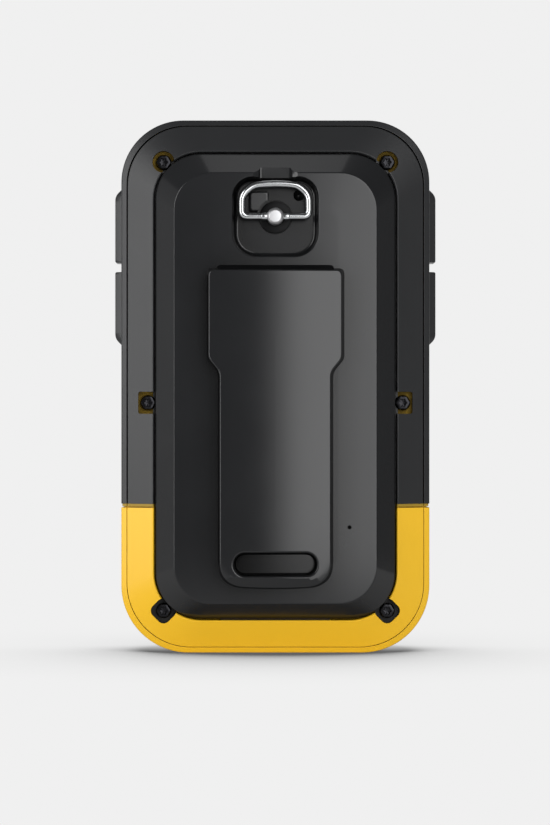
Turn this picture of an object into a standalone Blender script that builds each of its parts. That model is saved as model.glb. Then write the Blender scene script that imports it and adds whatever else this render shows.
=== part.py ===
"""Handheld GPS unit with a hinged battery door, a quarter-turn latch and side keys.

Lengths are metres. The unit stands on its lower edge: +Z is up, -Y is the back with the battery door,
+Y is the front with the display, and X runs to the right as the back is seen. Depths are counted from
the parting plane, where the case outline is largest, and are negative towards the back.
"""
import math

import bmesh
import bpy
from mathutils import Matrix, Vector

MM = 0.001

# Clearances
GAP = 0.3 * MM
RUNNING_GAP = 0.15 * MM
THIN_GAP = 0.1 * MM

# Fineness of round shapes, and the distance below which cut points are one point
MERGE_DISTANCE = 0.002 * MM
ARC_STEPS = 6
ROUND_STEPS = 24
FINE_STEPS = 16

# Cells and the tray that holds them
CELL_RADIUS = 7.25 * MM
CELL_LENGTH = 50.5 * MM
CELL_NUB_RADIUS = 2.7 * MM
CELL_NUB_HEIGHT = 1.0 * MM
CELL_SPACE = 0.7 * MM
CELL_SIDE_ROOM = 0.55 * MM
CONTACT_THICKNESS = 0.4 * MM
CONTACT_MARGIN = 1.2 * MM
CONTACT_DEPTH = 11.0 * MM
TRAY_WALL = 2.0 * MM
TRAY_END_WALL = 1.7 * MM
TRAY_FLOOR_THICKNESS = 1.0 * MM
TRAY_FLANGE = 1.35 * MM
TRAY_FLANGE_THICKNESS = 1.0 * MM
TRAY_FLANGE_RADIUS = 6.0 * MM
TRAY_SHELF_THICKNESS = 1.2 * MM
TRAY_TO_LEDGE = 1.65 * MM

# Rim and rear frame
LEDGE_WIDTH = 3.95 * MM
LEDGE_RADIUS = 5.5 * MM
RIM_BEVEL = 0.45 * MM
RIM_BEVEL_DROP = 0.4 * MM
RIM_FACE = 5.9 * MM
RIM_RISE = 2.7 * MM
OPENING_RADIUS = 9.0 * MM
TOP_CORNER_RADIUS = 11.8 * MM
BOTTOM_CORNER_RADIUS = 12.8 * MM
LEAST_CORNER_RADIUS = 2.0 * MM
LEDGE_DEPTH = 0.5 * MM
FRAME_THICKNESS = 1.2 * MM
PARTING_INSET = 1.2 * MM
PARTING_GAP = 0.3 * MM
REBATE_WIDTH = 1.55 * MM
REBATE_HEIGHT = 0.8 * MM
SKIN = 0.8 * MM
SEAM_HEIGHT = 28.1 * MM
SEAM_GAP = 0.4 * MM

# Zone above the cells that holds the latch
LATCH_ZONE = 26.6 * MM

# Front case
CASE_SKIN = 1.0 * MM
CASE_WALL = 1.6 * MM
SIDE_DRAFT = 0.35 * MM
FRONT_ROUND_DEPTH = 6.4 * MM
FRONT_ROUND_INSET = 5.2 * MM
SOLE_RELIEF = 0.6 * MM
SOLE_ARCH = 0.15 * MM
FRONT_TURN = (
    (0.0, 0.0, 0.0, 1.0, 0.0),
    (0.14, 0.11, 0.5, 0.88, 0.40),
    (0.43, 0.43, 0.81, 0.55, 0.75),
    (1.0, 1.0, 1.0, 0.15, 1.0),
)
BOSS_RADIUS = 2.5 * MM

# Display stack
BOARD_THICKNESS = 1.0 * MM
BACKLIGHT_THICKNESS = 1.1 * MM
PANEL_THICKNESS = 1.4 * MM
LENS_SEAT_THICKNESS = 1.3 * MM
LENS_GASKET_THICKNESS = 0.3 * MM
LENS_THICKNESS = 1.4 * MM
LENS_SET_BACK = 0.2 * MM
LENS_WIDTH = 40.4 * MM
LENS_HEIGHT = 52.0 * MM
LENS_ABOVE_SEAM = 2.9 * MM
LENS_RADIUS = 4.0 * MM
LENS_SEAT_WIDTH = 2.4 * MM
PANEL_OVERLAP = 1.6 * MM

# Board pieces
BOARD_MARGIN = 2.45 * MM
BOARD_END_MARGIN = 11.0 * MM
BOARD_RADIUS = 3.0 * MM
ANTENNA_SIDE = 18.0 * MM
ANTENNA_THICKNESS = 4.0 * MM
SHIELD_WIDTH = 26.0 * MM
SHIELD_HEIGHT = 14.0 * MM
SHIELD_THICKNESS = 1.8 * MM
BUZZER_RADIUS = 4.0 * MM
BUZZER_THICKNESS = 2.4 * MM
BUZZER_X = -12.0 * MM
STICK_X = 12.0 * MM
STICK_CAP_RADIUS = 3.5 * MM
STICK_CAP_HEIGHT = 1.2 * MM
STICK_RADIUS = 1.6 * MM
STICK_FLANGE_RADIUS = 2.9 * MM
STICK_FLANGE_THICKNESS = 0.5 * MM
STICK_TRAVEL = 0.3 * MM
STICK_SWITCH_SIDE = 4.2 * MM

# Side keys
KEY_LENGTH = 14.2 * MM
KEY_SPACE = 1.8 * MM
KEY_TOP_MARGIN = 12.7 * MM
KEY_PROUD = 1.4 * MM
KEY_WIDTH = 6.6 * MM
KEY_DEPTH = 7.0 * MM
KEY_FLANGE = 0.8 * MM
KEY_FLANGE_LIP = 0.8 * MM
KEY_TRAVEL = 0.5 * MM
MEMBRANE_THICKNESS = 0.6 * MM
DOME_RADIUS = 2.2 * MM
DOME_THICKNESS = 0.35 * MM
STRIP_THICKNESS = 0.8 * MM

# Battery door
LIP_STEP = 0.4 * MM
LIP_THICKNESS = 1.8 * MM
LIP_WIDTH = 2.9 * MM
DOOR_RISE = 4.5 * MM
DOOR_WALL = 1.6 * MM
DOOR_CHAMFER = 3.6 * MM
DOOR_CHAMFER_LOW = 3.1 * MM
PLATEAU_RADIUS = 7.0 * MM
DOOR_GASKET_WIDTH = 1.3 * MM
DOOR_GASKET_INSET = 1.2 * MM
DOOR_GASKET_LOW = 2.4 * MM
HOOK_WIDTH = 20.8 * MM
HOOK_REACH = 1.45 * MM
HOOK_THICKNESS = 0.9 * MM
VENT_RADIUS = 0.35 * MM
VENT_X = 13.95 * MM
VENT_RISE = 14.4 * MM
VENT_DISC_RADIUS = 2.0 * MM
VENT_DISC_THICKNESS = 0.3 * MM

# Latch
STEM_TO_PLATEAU_TOP = 8.2 * MM
RECESS_HALF_WIDTH = 8.05 * MM
RECESS_BELOW_STEM = 8.0 * MM
RECESS_ABOVE_STEM = 7.45 * MM
RECESS_TOP_RADIUS = 3.8 * MM
RECESS_BOTTOM_RADIUS = 4.5 * MM
RECESS_DEPTH = 3.0 * MM
RECESS_FLOOR_THICKNESS = 1.6 * MM
RECESS_WALL = 1.5 * MM
NOTCH_DEPTH = 1.0 * MM
NOTCH_FLOOR_WIDTH = 5.44 * MM
NOTCH_FLARE = 1.18 * MM
NOTCH_PAST_EDGE = 0.8 * MM
STOP_LEFT = 4.98 * MM
STOP_RIGHT = 1.24 * MM
STOP_LOW = 1.0 * MM
STOP_HIGH = 4.8 * MM
STOP_BELOW_FACE = 1.3 * MM
WIRE_RADIUS = 0.675 * MM
RING_WIDTH = 13.7 * MM
RING_REACH = 6.88 * MM
RING_TOP_RADIUS = 3.9 * MM
RING_LOW_RADIUS = 1.1 * MM
RING_BELOW_FACE = 0.1 * MM
STEM_HEAD_RADIUS = 1.6 * MM
STEM_HEAD_ABOVE_RING = 1.3 * MM
ROTOR_RADIUS = 3.2 * MM
ROTOR_THICKNESS = 0.6 * MM
SHAFT_RADIUS = 1.3 * MM
SEAL_WIDTH = 0.8 * MM
SEAL_THICKNESS = 0.6 * MM
KEEPER_THICKNESS = 0.8 * MM
KEEPER_WIDTH = 17.4 * MM
KEEPER_MARGIN = 2.2 * MM
KEEPER_POST_WIDTH = 2.4 * MM
TONGUE_THICKNESS = 0.9 * MM
TONGUE_WIDTH = 3.6 * MM
TONGUE_REACH = 5.5 * MM
TONGUE_HEEL = 2.0 * MM
TONGUE_GAP = 0.5 * MM
TONGUE_SCREW_HEAD_RADIUS = 1.6 * MM
TONGUE_SCREW_HEAD_HEIGHT = 0.6 * MM
TONGUE_SCREW_RADIUS = 0.6 * MM
TONGUE_SCREW_LENGTH = 1.4 * MM

# Mounting spine
SPINE_BASE_WIDTH = 21.6 * MM
SPINE_BASE_HEIGHT = 1.8 * MM
SPINE_PLATE_WIDTH = 25.1 * MM
SPINE_NARROW_WIDTH = 20.9 * MM
SPINE_PLATE_THICKNESS = 2.2 * MM
SPINE_ABOVE_EDGE = 3.4 * MM
SPINE_TO_RECESS = 1.15 * MM
SPINE_PLATE_DROP = 1.05 * MM
SPINE_WIDE_LENGTH = 16.35 * MM
SPINE_SHOULDER = 2.9 * MM
SPINE_LOW_RADIUS = 5.0 * MM
SPINE_TOP_RADIUS = 0.7 * MM
SPINE_EDGE_BEVEL = 0.4 * MM
SPINE_SLOT_WIDTH = 15.1 * MM
SPINE_SLOT_HEIGHT = 4.45 * MM
SPINE_SLOT_RISE = 1.85 * MM
SPINE_SLOT_DEPTH = 2.2 * MM
SPINE_SLOT_RADIUS = 2.1 * MM
PEG_RADIUS = 1.5 * MM
PEG_SPACING = 30.0 * MM

# Case screws
SCREW_HEAD_RADIUS = 1.25 * MM
SCREW_HEAD_HEIGHT = 1.2 * MM
SCREW_RADIUS = 0.7 * MM
SCREW_LENGTH = 8.0 * MM
SCREW_SOCKET_RADIUS = 0.75 * MM
SCREW_SOCKET_DEPTH = 0.7 * MM
SCREW_CORNER_OUT = 1.25 * MM
SCREW_SIDE_OUT = 1.2 * MM
SCREW_SIDE_HEIGHT = 47.6 * MM
POCKET_FLOOR = -0.2 * MM
POCKET_RADIUS = 2.1 * MM
SIDE_POCKET_HEIGHT = 4.2 * MM
SIDE_POCKET_WIDTH = 3.07 * MM
POCKET_CORNER = 1.0 * MM

# Outline worked out from the cells outwards
BAY_HALF_WIDTH = 2.0 * CELL_RADIUS + CELL_SPACE / 2.0 + CELL_SIDE_ROOM
TRAY_HALF_WIDTH = BAY_HALF_WIDTH + TRAY_WALL
LEDGE_HALF_WIDTH = TRAY_HALF_WIDTH + TRAY_TO_LEDGE
OPENING_HALF_WIDTH = LEDGE_HALF_WIDTH + LEDGE_WIDTH
RIM_INSET = RIM_FACE + RIM_BEVEL
HALF_WIDTH = OPENING_HALF_WIDTH + RIM_INSET
OPENING_LOW = RIM_INSET
LEDGE_LOW = OPENING_LOW + LEDGE_WIDTH
BAY_LOW = LEDGE_LOW + TRAY_END_WALL
CELL_LOW = BAY_LOW + CONTACT_THICKNESS + 2.0 * GAP
CELL_HIGH = CELL_LOW + CELL_LENGTH
BAY_HIGH = CELL_HIGH + CONTACT_THICKNESS + 2.0 * GAP
LEDGE_HIGH = BAY_HIGH + LATCH_ZONE
OPENING_HIGH = LEDGE_HIGH + LEDGE_WIDTH
BODY_HEIGHT = OPENING_HIGH + RIM_INSET

# Depths worked out from the door to the display
LIP_DEPTH = -(RIM_RISE - LIP_STEP)
LIP_UNDERSIDE = LIP_DEPTH + LIP_THICKNESS
PLATEAU_DEPTH = LIP_DEPTH - DOOR_RISE
DOOR_INSIDE = PLATEAU_DEPTH + DOOR_WALL
CELL_AXIS_DEPTH = DOOR_INSIDE + GAP + CELL_RADIUS
TRAY_FLOOR = CELL_AXIS_DEPTH + CELL_RADIUS + GAP
TRAY_FRONT = TRAY_FLOOR + TRAY_FLOOR_THICKNESS
BOARD_BACK = TRAY_FRONT + GAP
BOARD_FRONT = BOARD_BACK + BOARD_THICKNESS
BACKLIGHT_BACK = BOARD_FRONT + GAP
PANEL_BACK = BACKLIGHT_BACK + BACKLIGHT_THICKNESS + GAP
FRONT_WALL_INSIDE = PANEL_BACK + PANEL_THICKNESS + GAP
LENS_SEAT = FRONT_WALL_INSIDE + LENS_SEAT_THICKNESS
LENS_GASKET_BACK = LENS_SEAT + GAP
LENS_BACK = LENS_GASKET_BACK + LENS_GASKET_THICKNESS + GAP
LENS_FRONT = LENS_BACK + LENS_THICKNESS
FRONT_FACE = LENS_FRONT + LENS_SET_BACK
FRAME_UNDERSIDE = LEDGE_DEPTH + FRAME_THICKNESS
CASE_LEDGE = FRAME_UNDERSIDE + GAP
TRAY_BACK = FRAME_UNDERSIDE + GAP
SPINE_BASE_BACK = PLATEAU_DEPTH - GAP
SPINE_FACE = SPINE_BASE_BACK - SPINE_BASE_HEIGHT - SPINE_PLATE_THICKNESS + GAP
STICK_CAP_BACK = FRONT_FACE + STICK_TRAVEL + GAP
STICK_CAP_FRONT = STICK_CAP_BACK + STICK_CAP_HEIGHT
PARTING_Y = -(SPINE_FACE + STICK_CAP_FRONT) / 2.0

# Door outline
LIP_HALF_WIDTH = OPENING_HALF_WIDTH - GAP
LIP_LOW = OPENING_LOW + GAP
LIP_HIGH = OPENING_HIGH - GAP
LIP_RADIUS = OPENING_RADIUS - GAP
PLATEAU_HALF_WIDTH = LIP_HALF_WIDTH - DOOR_CHAMFER
PLATEAU_LOW = LIP_LOW + DOOR_CHAMFER_LOW
PLATEAU_HIGH = LIP_HIGH - DOOR_CHAMFER - GAP

# Latch places
STEM_Z = PLATEAU_HIGH - STEM_TO_PLATEAU_TOP
RECESS_LOW = STEM_Z - RECESS_BELOW_STEM
RECESS_HIGH = STEM_Z + RECESS_ABOVE_STEM
RECESS_FLOOR = PLATEAU_DEPTH + RECESS_DEPTH
RECESS_BACKING = RECESS_FLOOR + RECESS_FLOOR_THICKNESS
RING_AXIS_DEPTH = PLATEAU_DEPTH + RING_BELOW_FACE
STEM_TOP = RING_AXIS_DEPTH - STEM_HEAD_ABOVE_RING
ROTOR_BACK = RECESS_FLOOR - GAP - ROTOR_THICKNESS
KEEPER_BACK = RECESS_BACKING + GAP
KEEPER_FRONT = KEEPER_BACK + KEEPER_THICKNESS
TONGUE_BACK = KEEPER_FRONT + TONGUE_GAP
TONGUE_FRONT = TONGUE_BACK + TONGUE_THICKNESS
STEM_END = TONGUE_BACK - GAP

# Display places
LENS_LOW = SEAM_HEIGHT + LENS_ABOVE_SEAM
LENS_HIGH = LENS_LOW + LENS_HEIGHT
STICK_Z = LENS_HIGH + GAP + STICK_CAP_RADIUS + GAP
BOARD_LOW = BOARD_END_MARGIN
BOARD_HIGH = BODY_HEIGHT - BOARD_END_MARGIN
CAVITY_INSET = CASE_SKIN + GAP + CASE_WALL
BOARD_HALF_WIDTH = HALF_WIDTH - CAVITY_INSET - BOARD_MARGIN

# Key places
KEY_WALL_X = HALF_WIDTH - CAVITY_INSET - SIDE_DRAFT
KEY_FLANGE_OUT = KEY_WALL_X - GAP
KEY_FLANGE_IN = KEY_FLANGE_OUT - KEY_FLANGE
KEY_FACE_X = HALF_WIDTH + KEY_PROUD
MEMBRANE_OUT = KEY_FLANGE_IN - KEY_TRAVEL - RUNNING_GAP
MEMBRANE_IN = MEMBRANE_OUT - MEMBRANE_THICKNESS
DOME_OUT = MEMBRANE_IN - GAP
DOME_IN = DOME_OUT - DOME_THICKNESS
STRIP_OUT = DOME_IN - GAP
STRIP_IN = STRIP_OUT - STRIP_THICKNESS
KEY_BACK = KEY_DEPTH - KEY_WIDTH / 2.0
KEY_FRONT = KEY_DEPTH + KEY_WIDTH / 2.0
UPPER_KEY_HIGH = BODY_HEIGHT - KEY_TOP_MARGIN
UPPER_KEY_LOW = UPPER_KEY_HIGH - KEY_LENGTH
LOWER_KEY_HIGH = UPPER_KEY_LOW - KEY_SPACE
LOWER_KEY_LOW = LOWER_KEY_HIGH - KEY_LENGTH
KEY_SPANS = {"upper": (UPPER_KEY_LOW, UPPER_KEY_HIGH), "lower": (LOWER_KEY_LOW, LOWER_KEY_HIGH)}
SIDES = (("left", -1.0), ("right", 1.0))

# Screw places: four beside the opening's corner arcs, two beside its long edges
CORNER_REACH = (OPENING_RADIUS + SCREW_CORNER_OUT) * math.sqrt(0.5)
SCREW_CORNER_X = OPENING_HALF_WIDTH - OPENING_RADIUS + CORNER_REACH
SCREW_TOP_Z = OPENING_HIGH - OPENING_RADIUS + CORNER_REACH
SCREW_LOW_Z = OPENING_LOW + OPENING_RADIUS - CORNER_REACH
SCREW_SIDE_X = OPENING_HALF_WIDTH + SCREW_SIDE_OUT
SCREW_PLACES = {
    "case_screw_top_left": (-SCREW_CORNER_X, SCREW_TOP_Z),
    "case_screw_top_right": (SCREW_CORNER_X, SCREW_TOP_Z),
    "case_screw_side_left": (-SCREW_SIDE_X, SCREW_SIDE_HEIGHT),
    "case_screw_side_right": (SCREW_SIDE_X, SCREW_SIDE_HEIGHT),
    "case_screw_bottom_left": (-SCREW_CORNER_X, SCREW_LOW_Z),
    "case_screw_bottom_right": (SCREW_CORNER_X, SCREW_LOW_Z),
}

# Finishes: base colour, roughness, metallic
FINISHES = {
    "yellow_plastic": ((0.84, 0.52, 0.04), 0.45, 0.0),
    "black_rubber": ((0.030, 0.031, 0.034), 0.55, 0.0),
    "black_plastic": ((0.032, 0.033, 0.036), 0.50, 0.0),
    "steel": ((0.60, 0.60, 0.61), 0.28, 1.0),
    "dark_steel": ((0.10, 0.10, 0.11), 0.35, 1.0),
    "nickel": ((0.70, 0.68, 0.62), 0.35, 1.0),
    "cell_wrap": ((0.10, 0.22, 0.16), 0.35, 0.0),
    "board_green": ((0.02, 0.16, 0.06), 0.45, 0.0),
    "ceramic": ((0.62, 0.57, 0.46), 0.60, 0.0),
    "seal_grey": ((0.16, 0.16, 0.17), 0.70, 0.0),
    "lens_dark": ((0.015, 0.016, 0.018), 0.08, 0.0),
    "panel_grey": ((0.28, 0.31, 0.25), 0.25, 0.0),
    "diffuser": ((0.85, 0.85, 0.82), 0.40, 0.0),
    "strip_amber": ((0.55, 0.27, 0.05), 0.45, 0.0),
}


def finish(key):
    """Material of the given finish, made once."""
    material = bpy.data.materials.get(key)
    if material is None:
        colour, roughness, metallic = FINISHES[key]
        material = bpy.data.materials.new(key)
        material.use_nodes = True
        shader = material.node_tree.nodes["Principled BSDF"]
        shader.inputs["Base Color"].default_value = (*colour, 1.0)
        shader.inputs["Roughness"].default_value = roughness
        shader.inputs["Metallic"].default_value = metallic
    return material


def outline(half_width, low, high, top_radius, bottom_radius, middle=0.0, arch=0.0):
    """Rounded rectangle of the XZ plane, as one loop of points; its lower side can rise to an arch."""
    corners = (
        (middle + half_width - bottom_radius, low + bottom_radius, bottom_radius, -90.0),
        (middle + half_width - top_radius, high - top_radius, top_radius, 0.0),
        (middle - half_width + top_radius, high - top_radius, top_radius, 90.0),
        (middle - half_width + bottom_radius, low + bottom_radius, bottom_radius, 180.0),
    )
    points = []
    for x, z, radius, start in corners:
        points += arc(x, z, radius, start, start + 90.0)
    points.append((middle, low + arch))
    return points


def arc(x, z, radius, start, end, steps=ARC_STEPS):
    """Points of a circle arc, both ends included, angles in degrees."""
    points = []
    for step in range(steps + 1):
        angle = math.radians(start + (end - start) * step / steps)
        points.append((x + radius * math.cos(angle), z + radius * math.sin(angle)))
    return points


def disc(x, z, radius, steps=ROUND_STEPS):
    """Points of a full circle in the XZ plane."""
    return arc(x, z, radius, 0.0, 360.0 - 360.0 / steps, steps - 1)


def rectangle(x_low, x_high, z_low, z_high):
    """Corner points of a plain rectangle in the XZ plane."""
    return [(x_high, z_low), (x_high, z_high), (x_low, z_high), (x_low, z_low)]


def skin_rings(name, rings, finish_key, closed=False):
    """Closed solid over rings of equal point count: capped at both ends, or joined end to start."""
    mesh = bmesh.new()
    loops = [[mesh.verts.new(point) for point in ring] for ring in rings]
    pairs = list(zip(loops, loops[1:]))
    if closed:
        pairs.append((loops[-1], loops[0]))
    else:
        mesh.faces.new(loops[0])
        mesh.faces.new(loops[-1])
    count = len(loops[0])
    for first, second in pairs:
        for index in range(count):
            after = (index + 1) % count
            mesh.faces.new((first[index], first[after], second[after], second[index]))
    bmesh.ops.recalc_face_normals(mesh, faces=mesh.faces)
    data = bpy.data.meshes.new(name)
    mesh.to_mesh(data)
    mesh.free()
    piece = bpy.data.objects.new(name, data)
    bpy.context.scene.collection.objects.link(piece)
    data.materials.append(finish(finish_key))
    return piece


def loft(name, rings, finish_key="steel", closed=False):
    """Solid over (outline, depth) pairs."""
    spread = [[Vector((x, depth, z)) for x, z in points] for points, depth in rings]
    return skin_rings(name, spread, finish_key, closed)


def prism(name, points, depth_back, depth_front, finish_key="steel"):
    """Outline of the XZ plane carried straight from one depth to another."""
    return loft(name, [(points, depth_back), (points, depth_front)], finish_key)


def block(name, x_range, depth_range, z_range, finish_key="steel"):
    """Plain box between two corners."""
    return prism(name, rectangle(*x_range, *z_range), *depth_range, finish_key)


def turned(name, profile, centre, axis, finish_key, steps=ROUND_STEPS):
    """Solid of revolution: profile pairs are (radius, place along the axis through centre)."""
    rings = []
    for radius, along in profile:
        ring = []
        for step in range(steps):
            angle = 2.0 * math.pi * step / steps
            across = radius * math.cos(angle)
            upward = radius * math.sin(angle)
            offsets = {
                "X": (along, across, upward),
                "Y": (across, along, upward),
                "Z": (across, upward, along),
            }
            ring.append(Vector(centre) + Vector(offsets[axis]))
        rings.append(ring)
    return skin_rings(name, rings, finish_key)


def combine(piece, tool, operation):
    """Apply one exact Boolean to the piece and drop the tool."""
    modifier = piece.modifiers.new("shape", "BOOLEAN")
    modifier.operation = operation
    modifier.solver = "EXACT"
    modifier.object = tool
    graph = bpy.context.evaluated_depsgraph_get()
    shaped = bpy.data.meshes.new_from_object(piece.evaluated_get(graph))
    piece.modifiers.clear()
    plain = piece.data
    piece.data = shaped
    bpy.data.meshes.remove(plain)
    bpy.data.objects.remove(tool)
    mesh = bmesh.new()
    mesh.from_mesh(shaped)
    bmesh.ops.remove_doubles(mesh, verts=mesh.verts, dist=MERGE_DISTANCE)
    bmesh.ops.dissolve_degenerate(mesh, edges=mesh.edges, dist=MERGE_DISTANCE)
    mesh.to_mesh(shaped)
    mesh.free()


def cut(piece, *tools):
    """Take each tool's solid away from the piece."""
    for tool in tools:
        combine(piece, tool, "DIFFERENCE")


def add(piece, *tools):
    """Join each tool's solid to the piece."""
    for tool in tools:
        combine(piece, tool, "UNION")


def keep_side(piece, height, above):
    """Slice the piece level at a height, keep one side and close the cut."""
    mesh = bmesh.new()
    mesh.from_mesh(piece.data)
    everything = mesh.verts[:] + mesh.edges[:] + mesh.faces[:]
    bmesh.ops.bisect_plane(mesh, geom=everything, plane_co=(0.0, 0.0, height), plane_no=(0.0, 0.0, 1.0),
                           clear_inner=above, clear_outer=not above)
    open_edges = [edge for edge in mesh.edges if edge.is_boundary]
    bmesh.ops.holes_fill(mesh, edges=open_edges, sides=0)
    bmesh.ops.recalc_face_normals(mesh, faces=mesh.faces)
    mesh.to_mesh(piece.data)
    mesh.free()
    return piece


def smooth(*pieces):
    """Shade round pieces smooth and keep their real edges sharp."""
    for piece in pieces:
        piece.data.shade_smooth()
        piece.data.set_sharp_from_angle(angle=math.radians(35.0))


def case_outline(inset, sole_inset=None):
    """Case outline drawn in by an inset, with its own inset at the sole, which stands on its two ends."""
    sole = inset if sole_inset is None else sole_inset
    top_radius = max(TOP_CORNER_RADIUS - inset, LEAST_CORNER_RADIUS)
    bottom_radius = max(BOTTOM_CORNER_RADIUS - inset, LEAST_CORNER_RADIUS)
    return outline(HALF_WIDTH - inset, sole, BODY_HEIGHT - inset, top_radius, bottom_radius, arch=SOLE_ARCH)


def rim_outline(inset):
    """Rim outline at an inset: its corner radius runs from the case's to the opening's."""
    share = inset / RIM_INSET
    top_radius = TOP_CORNER_RADIUS + (OPENING_RADIUS - TOP_CORNER_RADIUS) * share
    bottom_radius = BOTTOM_CORNER_RADIUS + (OPENING_RADIUS - BOTTOM_CORNER_RADIUS) * share
    return outline(HALF_WIDTH - inset, inset, BODY_HEIGHT - inset, top_radius, bottom_radius)


def rim_depth(inset):
    """Depth of the slanted rim face at an inset from the case outline."""
    return -RIM_RISE * inset / RIM_FACE


def front_profile(offset):
    """Inset, sole inset and depth along the front shell's outside, drawn in by an offset.

    The outside turns from the side wall into the front face in three chords. Each station gives its
    share of the turn's inset, of the sole's inset and of the turn's depth, and how much of the offset
    goes inwards and backwards there.
    """
    start = FRONT_FACE - FRONT_ROUND_DEPTH
    sole_inset = FRONT_ROUND_INSET - SOLE_RELIEF
    profile = []
    for inset_share, sole_share, depth_share, inward, backward in FRONT_TURN:
        profile.append((
            SIDE_DRAFT + inset_share * FRONT_ROUND_INSET + offset * inward,
            sole_share * sole_inset + offset * inward,
            start + depth_share * FRONT_ROUND_DEPTH - offset * backward,
        ))
    return profile


def front_rings(offset):
    """Outlines and depths of the front shell's outside, drawn in by an offset."""
    return [(case_outline(inset, sole), depth) for inset, sole, depth in front_profile(offset)]


def lens_outline(margin):
    """Outline round the display lens, grown by a margin."""
    radius = LENS_RADIUS + margin
    return outline(LENS_WIDTH / 2.0 + margin, LENS_LOW - margin, LENS_HIGH + margin, radius, radius)


def key_cutter(sign, low, high):
    """Opening for one key through the side wall."""
    inner = sign * (KEY_FLANGE_OUT - CASE_WALL)
    outer = sign * (KEY_FACE_X + CASE_WALL)
    return block("key_opening", sorted((inner, outer)), (KEY_BACK - GAP, KEY_FRONT + GAP),
                 (low - GAP, high + GAP))


def key_cutters():
    """Openings for all four keys."""
    return [key_cutter(sign, low, high) for _, sign in SIDES for low, high in KEY_SPANS.values()]


def stick_opening():
    """Round hole for the thumb stick through the front."""
    return prism("stick_opening", disc(STICK_X, STICK_Z, STICK_RADIUS + 2.0 * GAP, FINE_STEPS),
                 FRONT_WALL_INSIDE - CASE_WALL, FRONT_FACE + CASE_WALL)


def make_front_case():
    """Yellow core of the front half, full size below the seam, with screw bosses and the lens seat."""
    core_offset = CASE_SKIN + GAP
    seat = lens_outline(GAP)
    window = lens_outline(-LENS_SEAT_WIDTH)
    wall_inset = CAVITY_INSET + SIDE_DRAFT
    turn = FRONT_FACE - FRONT_ROUND_DEPTH
    core = [(case_outline(core_offset), CASE_LEDGE)] + front_rings(core_offset)
    core += [(seat, FRONT_FACE - core_offset), (seat, LENS_SEAT)]
    core += [(window, LENS_SEAT), (window, FRONT_WALL_INSIDE)]
    core += [(case_outline(wall_inset + CASE_WALL), FRONT_WALL_INSIDE), (case_outline(wall_inset), turn),
             (case_outline(CAVITY_INSET), CASE_LEDGE)]
    piece = loft("front_case", core, "yellow_plastic", closed=True)

    inner_offset = core_offset + CASE_WALL / 2.0
    lip = PARTING_INSET - PARTING_GAP / 2.0
    lower = [(rim_outline(lip), rim_depth(lip)), (case_outline(0.0), 0.0)] + front_rings(0.0)
    lower += [(seat, FRONT_FACE), (seat, FRONT_FACE - inner_offset)]
    lower += list(reversed(front_rings(inner_offset)))
    lower += [(case_outline(inner_offset), CASE_LEDGE), (case_outline(lip), CASE_LEDGE)]
    shell = loft("lower_shell", lower, "yellow_plastic", closed=True)
    add(piece, keep_side(shell, SEAM_HEIGHT - SEAM_GAP / 2.0, above=False))

    hole_end = POCKET_FLOOR + SCREW_LENGTH + GAP
    for x, z in SCREW_PLACES.values():
        boss = disc(x, z, BOSS_RADIUS, FINE_STEPS)
        hole = disc(x, z, SCREW_RADIUS + GAP, FINE_STEPS)
        add(piece, prism("boss", boss, CASE_LEDGE, FRONT_WALL_INSIDE + GAP))
        cut(piece, prism("boss_hole", hole, CASE_LEDGE - CASE_WALL, hole_end))
    cut(piece, *key_cutters())
    cut(piece, stick_opening())
    smooth(piece)
    return piece


def make_front_overmould():
    """Soft black skin over the front half above the seam, open for the lens, the keys and the stick."""
    lip = PARTING_INSET - PARTING_GAP / 2.0
    seat = lens_outline(GAP)
    rings = [(rim_outline(lip), rim_depth(lip)), (case_outline(0.0), 0.0)] + front_rings(0.0)
    rings += [(seat, FRONT_FACE), (seat, FRONT_FACE - CASE_SKIN)]
    rings += list(reversed(front_rings(CASE_SKIN)))
    rings += [(case_outline(CASE_SKIN), CASE_LEDGE)]
    piece = loft("front_overmould", rings, "black_rubber", closed=True)
    keep_side(piece, SEAM_HEIGHT + SEAM_GAP / 2.0, above=True)
    cut(piece, *key_cutters())
    cut(piece, stick_opening())
    smooth(piece)
    return piece


def frame_start():
    """Inset where the rear frame starts, just inside the parting line."""
    return PARTING_INSET + PARTING_GAP / 2.0


def pocket_outline(name, x, z):
    """Outline of the pocket round one screw head: round at the top, turned square below, square beside."""
    sign = math.copysign(1.0, x)
    if "top" in name:
        return disc(x, z, POCKET_RADIUS, ROUND_STEPS)
    if "side" in name:
        far = OPENING_HALF_WIDTH + SIDE_POCKET_WIDTH
        near = OPENING_HALF_WIDTH - LEDGE_WIDTH / 2.0
        middle = sign * (far + near) / 2.0
        half = SIDE_POCKET_HEIGHT / 2.0
        return outline((far - near) / 2.0, z - half, z + half, POCKET_CORNER, POCKET_CORNER, middle)
    square = outline(POCKET_RADIUS, -POCKET_RADIUS, POCKET_RADIUS, POCKET_CORNER, POCKET_CORNER)
    turn = math.sqrt(0.5)
    return [(x + turn * (across - up), z + turn * (across + up)) for across, up in square]


def pocket_cutters(above=0.0):
    """Pockets of the screws above a height, open at the back."""
    return [prism("pocket", pocket_outline(name, x, z), rim_depth(RIM_FACE) - CASE_WALL, POCKET_FLOOR)
            for name, (x, z) in SCREW_PLACES.items() if z > above]


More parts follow.
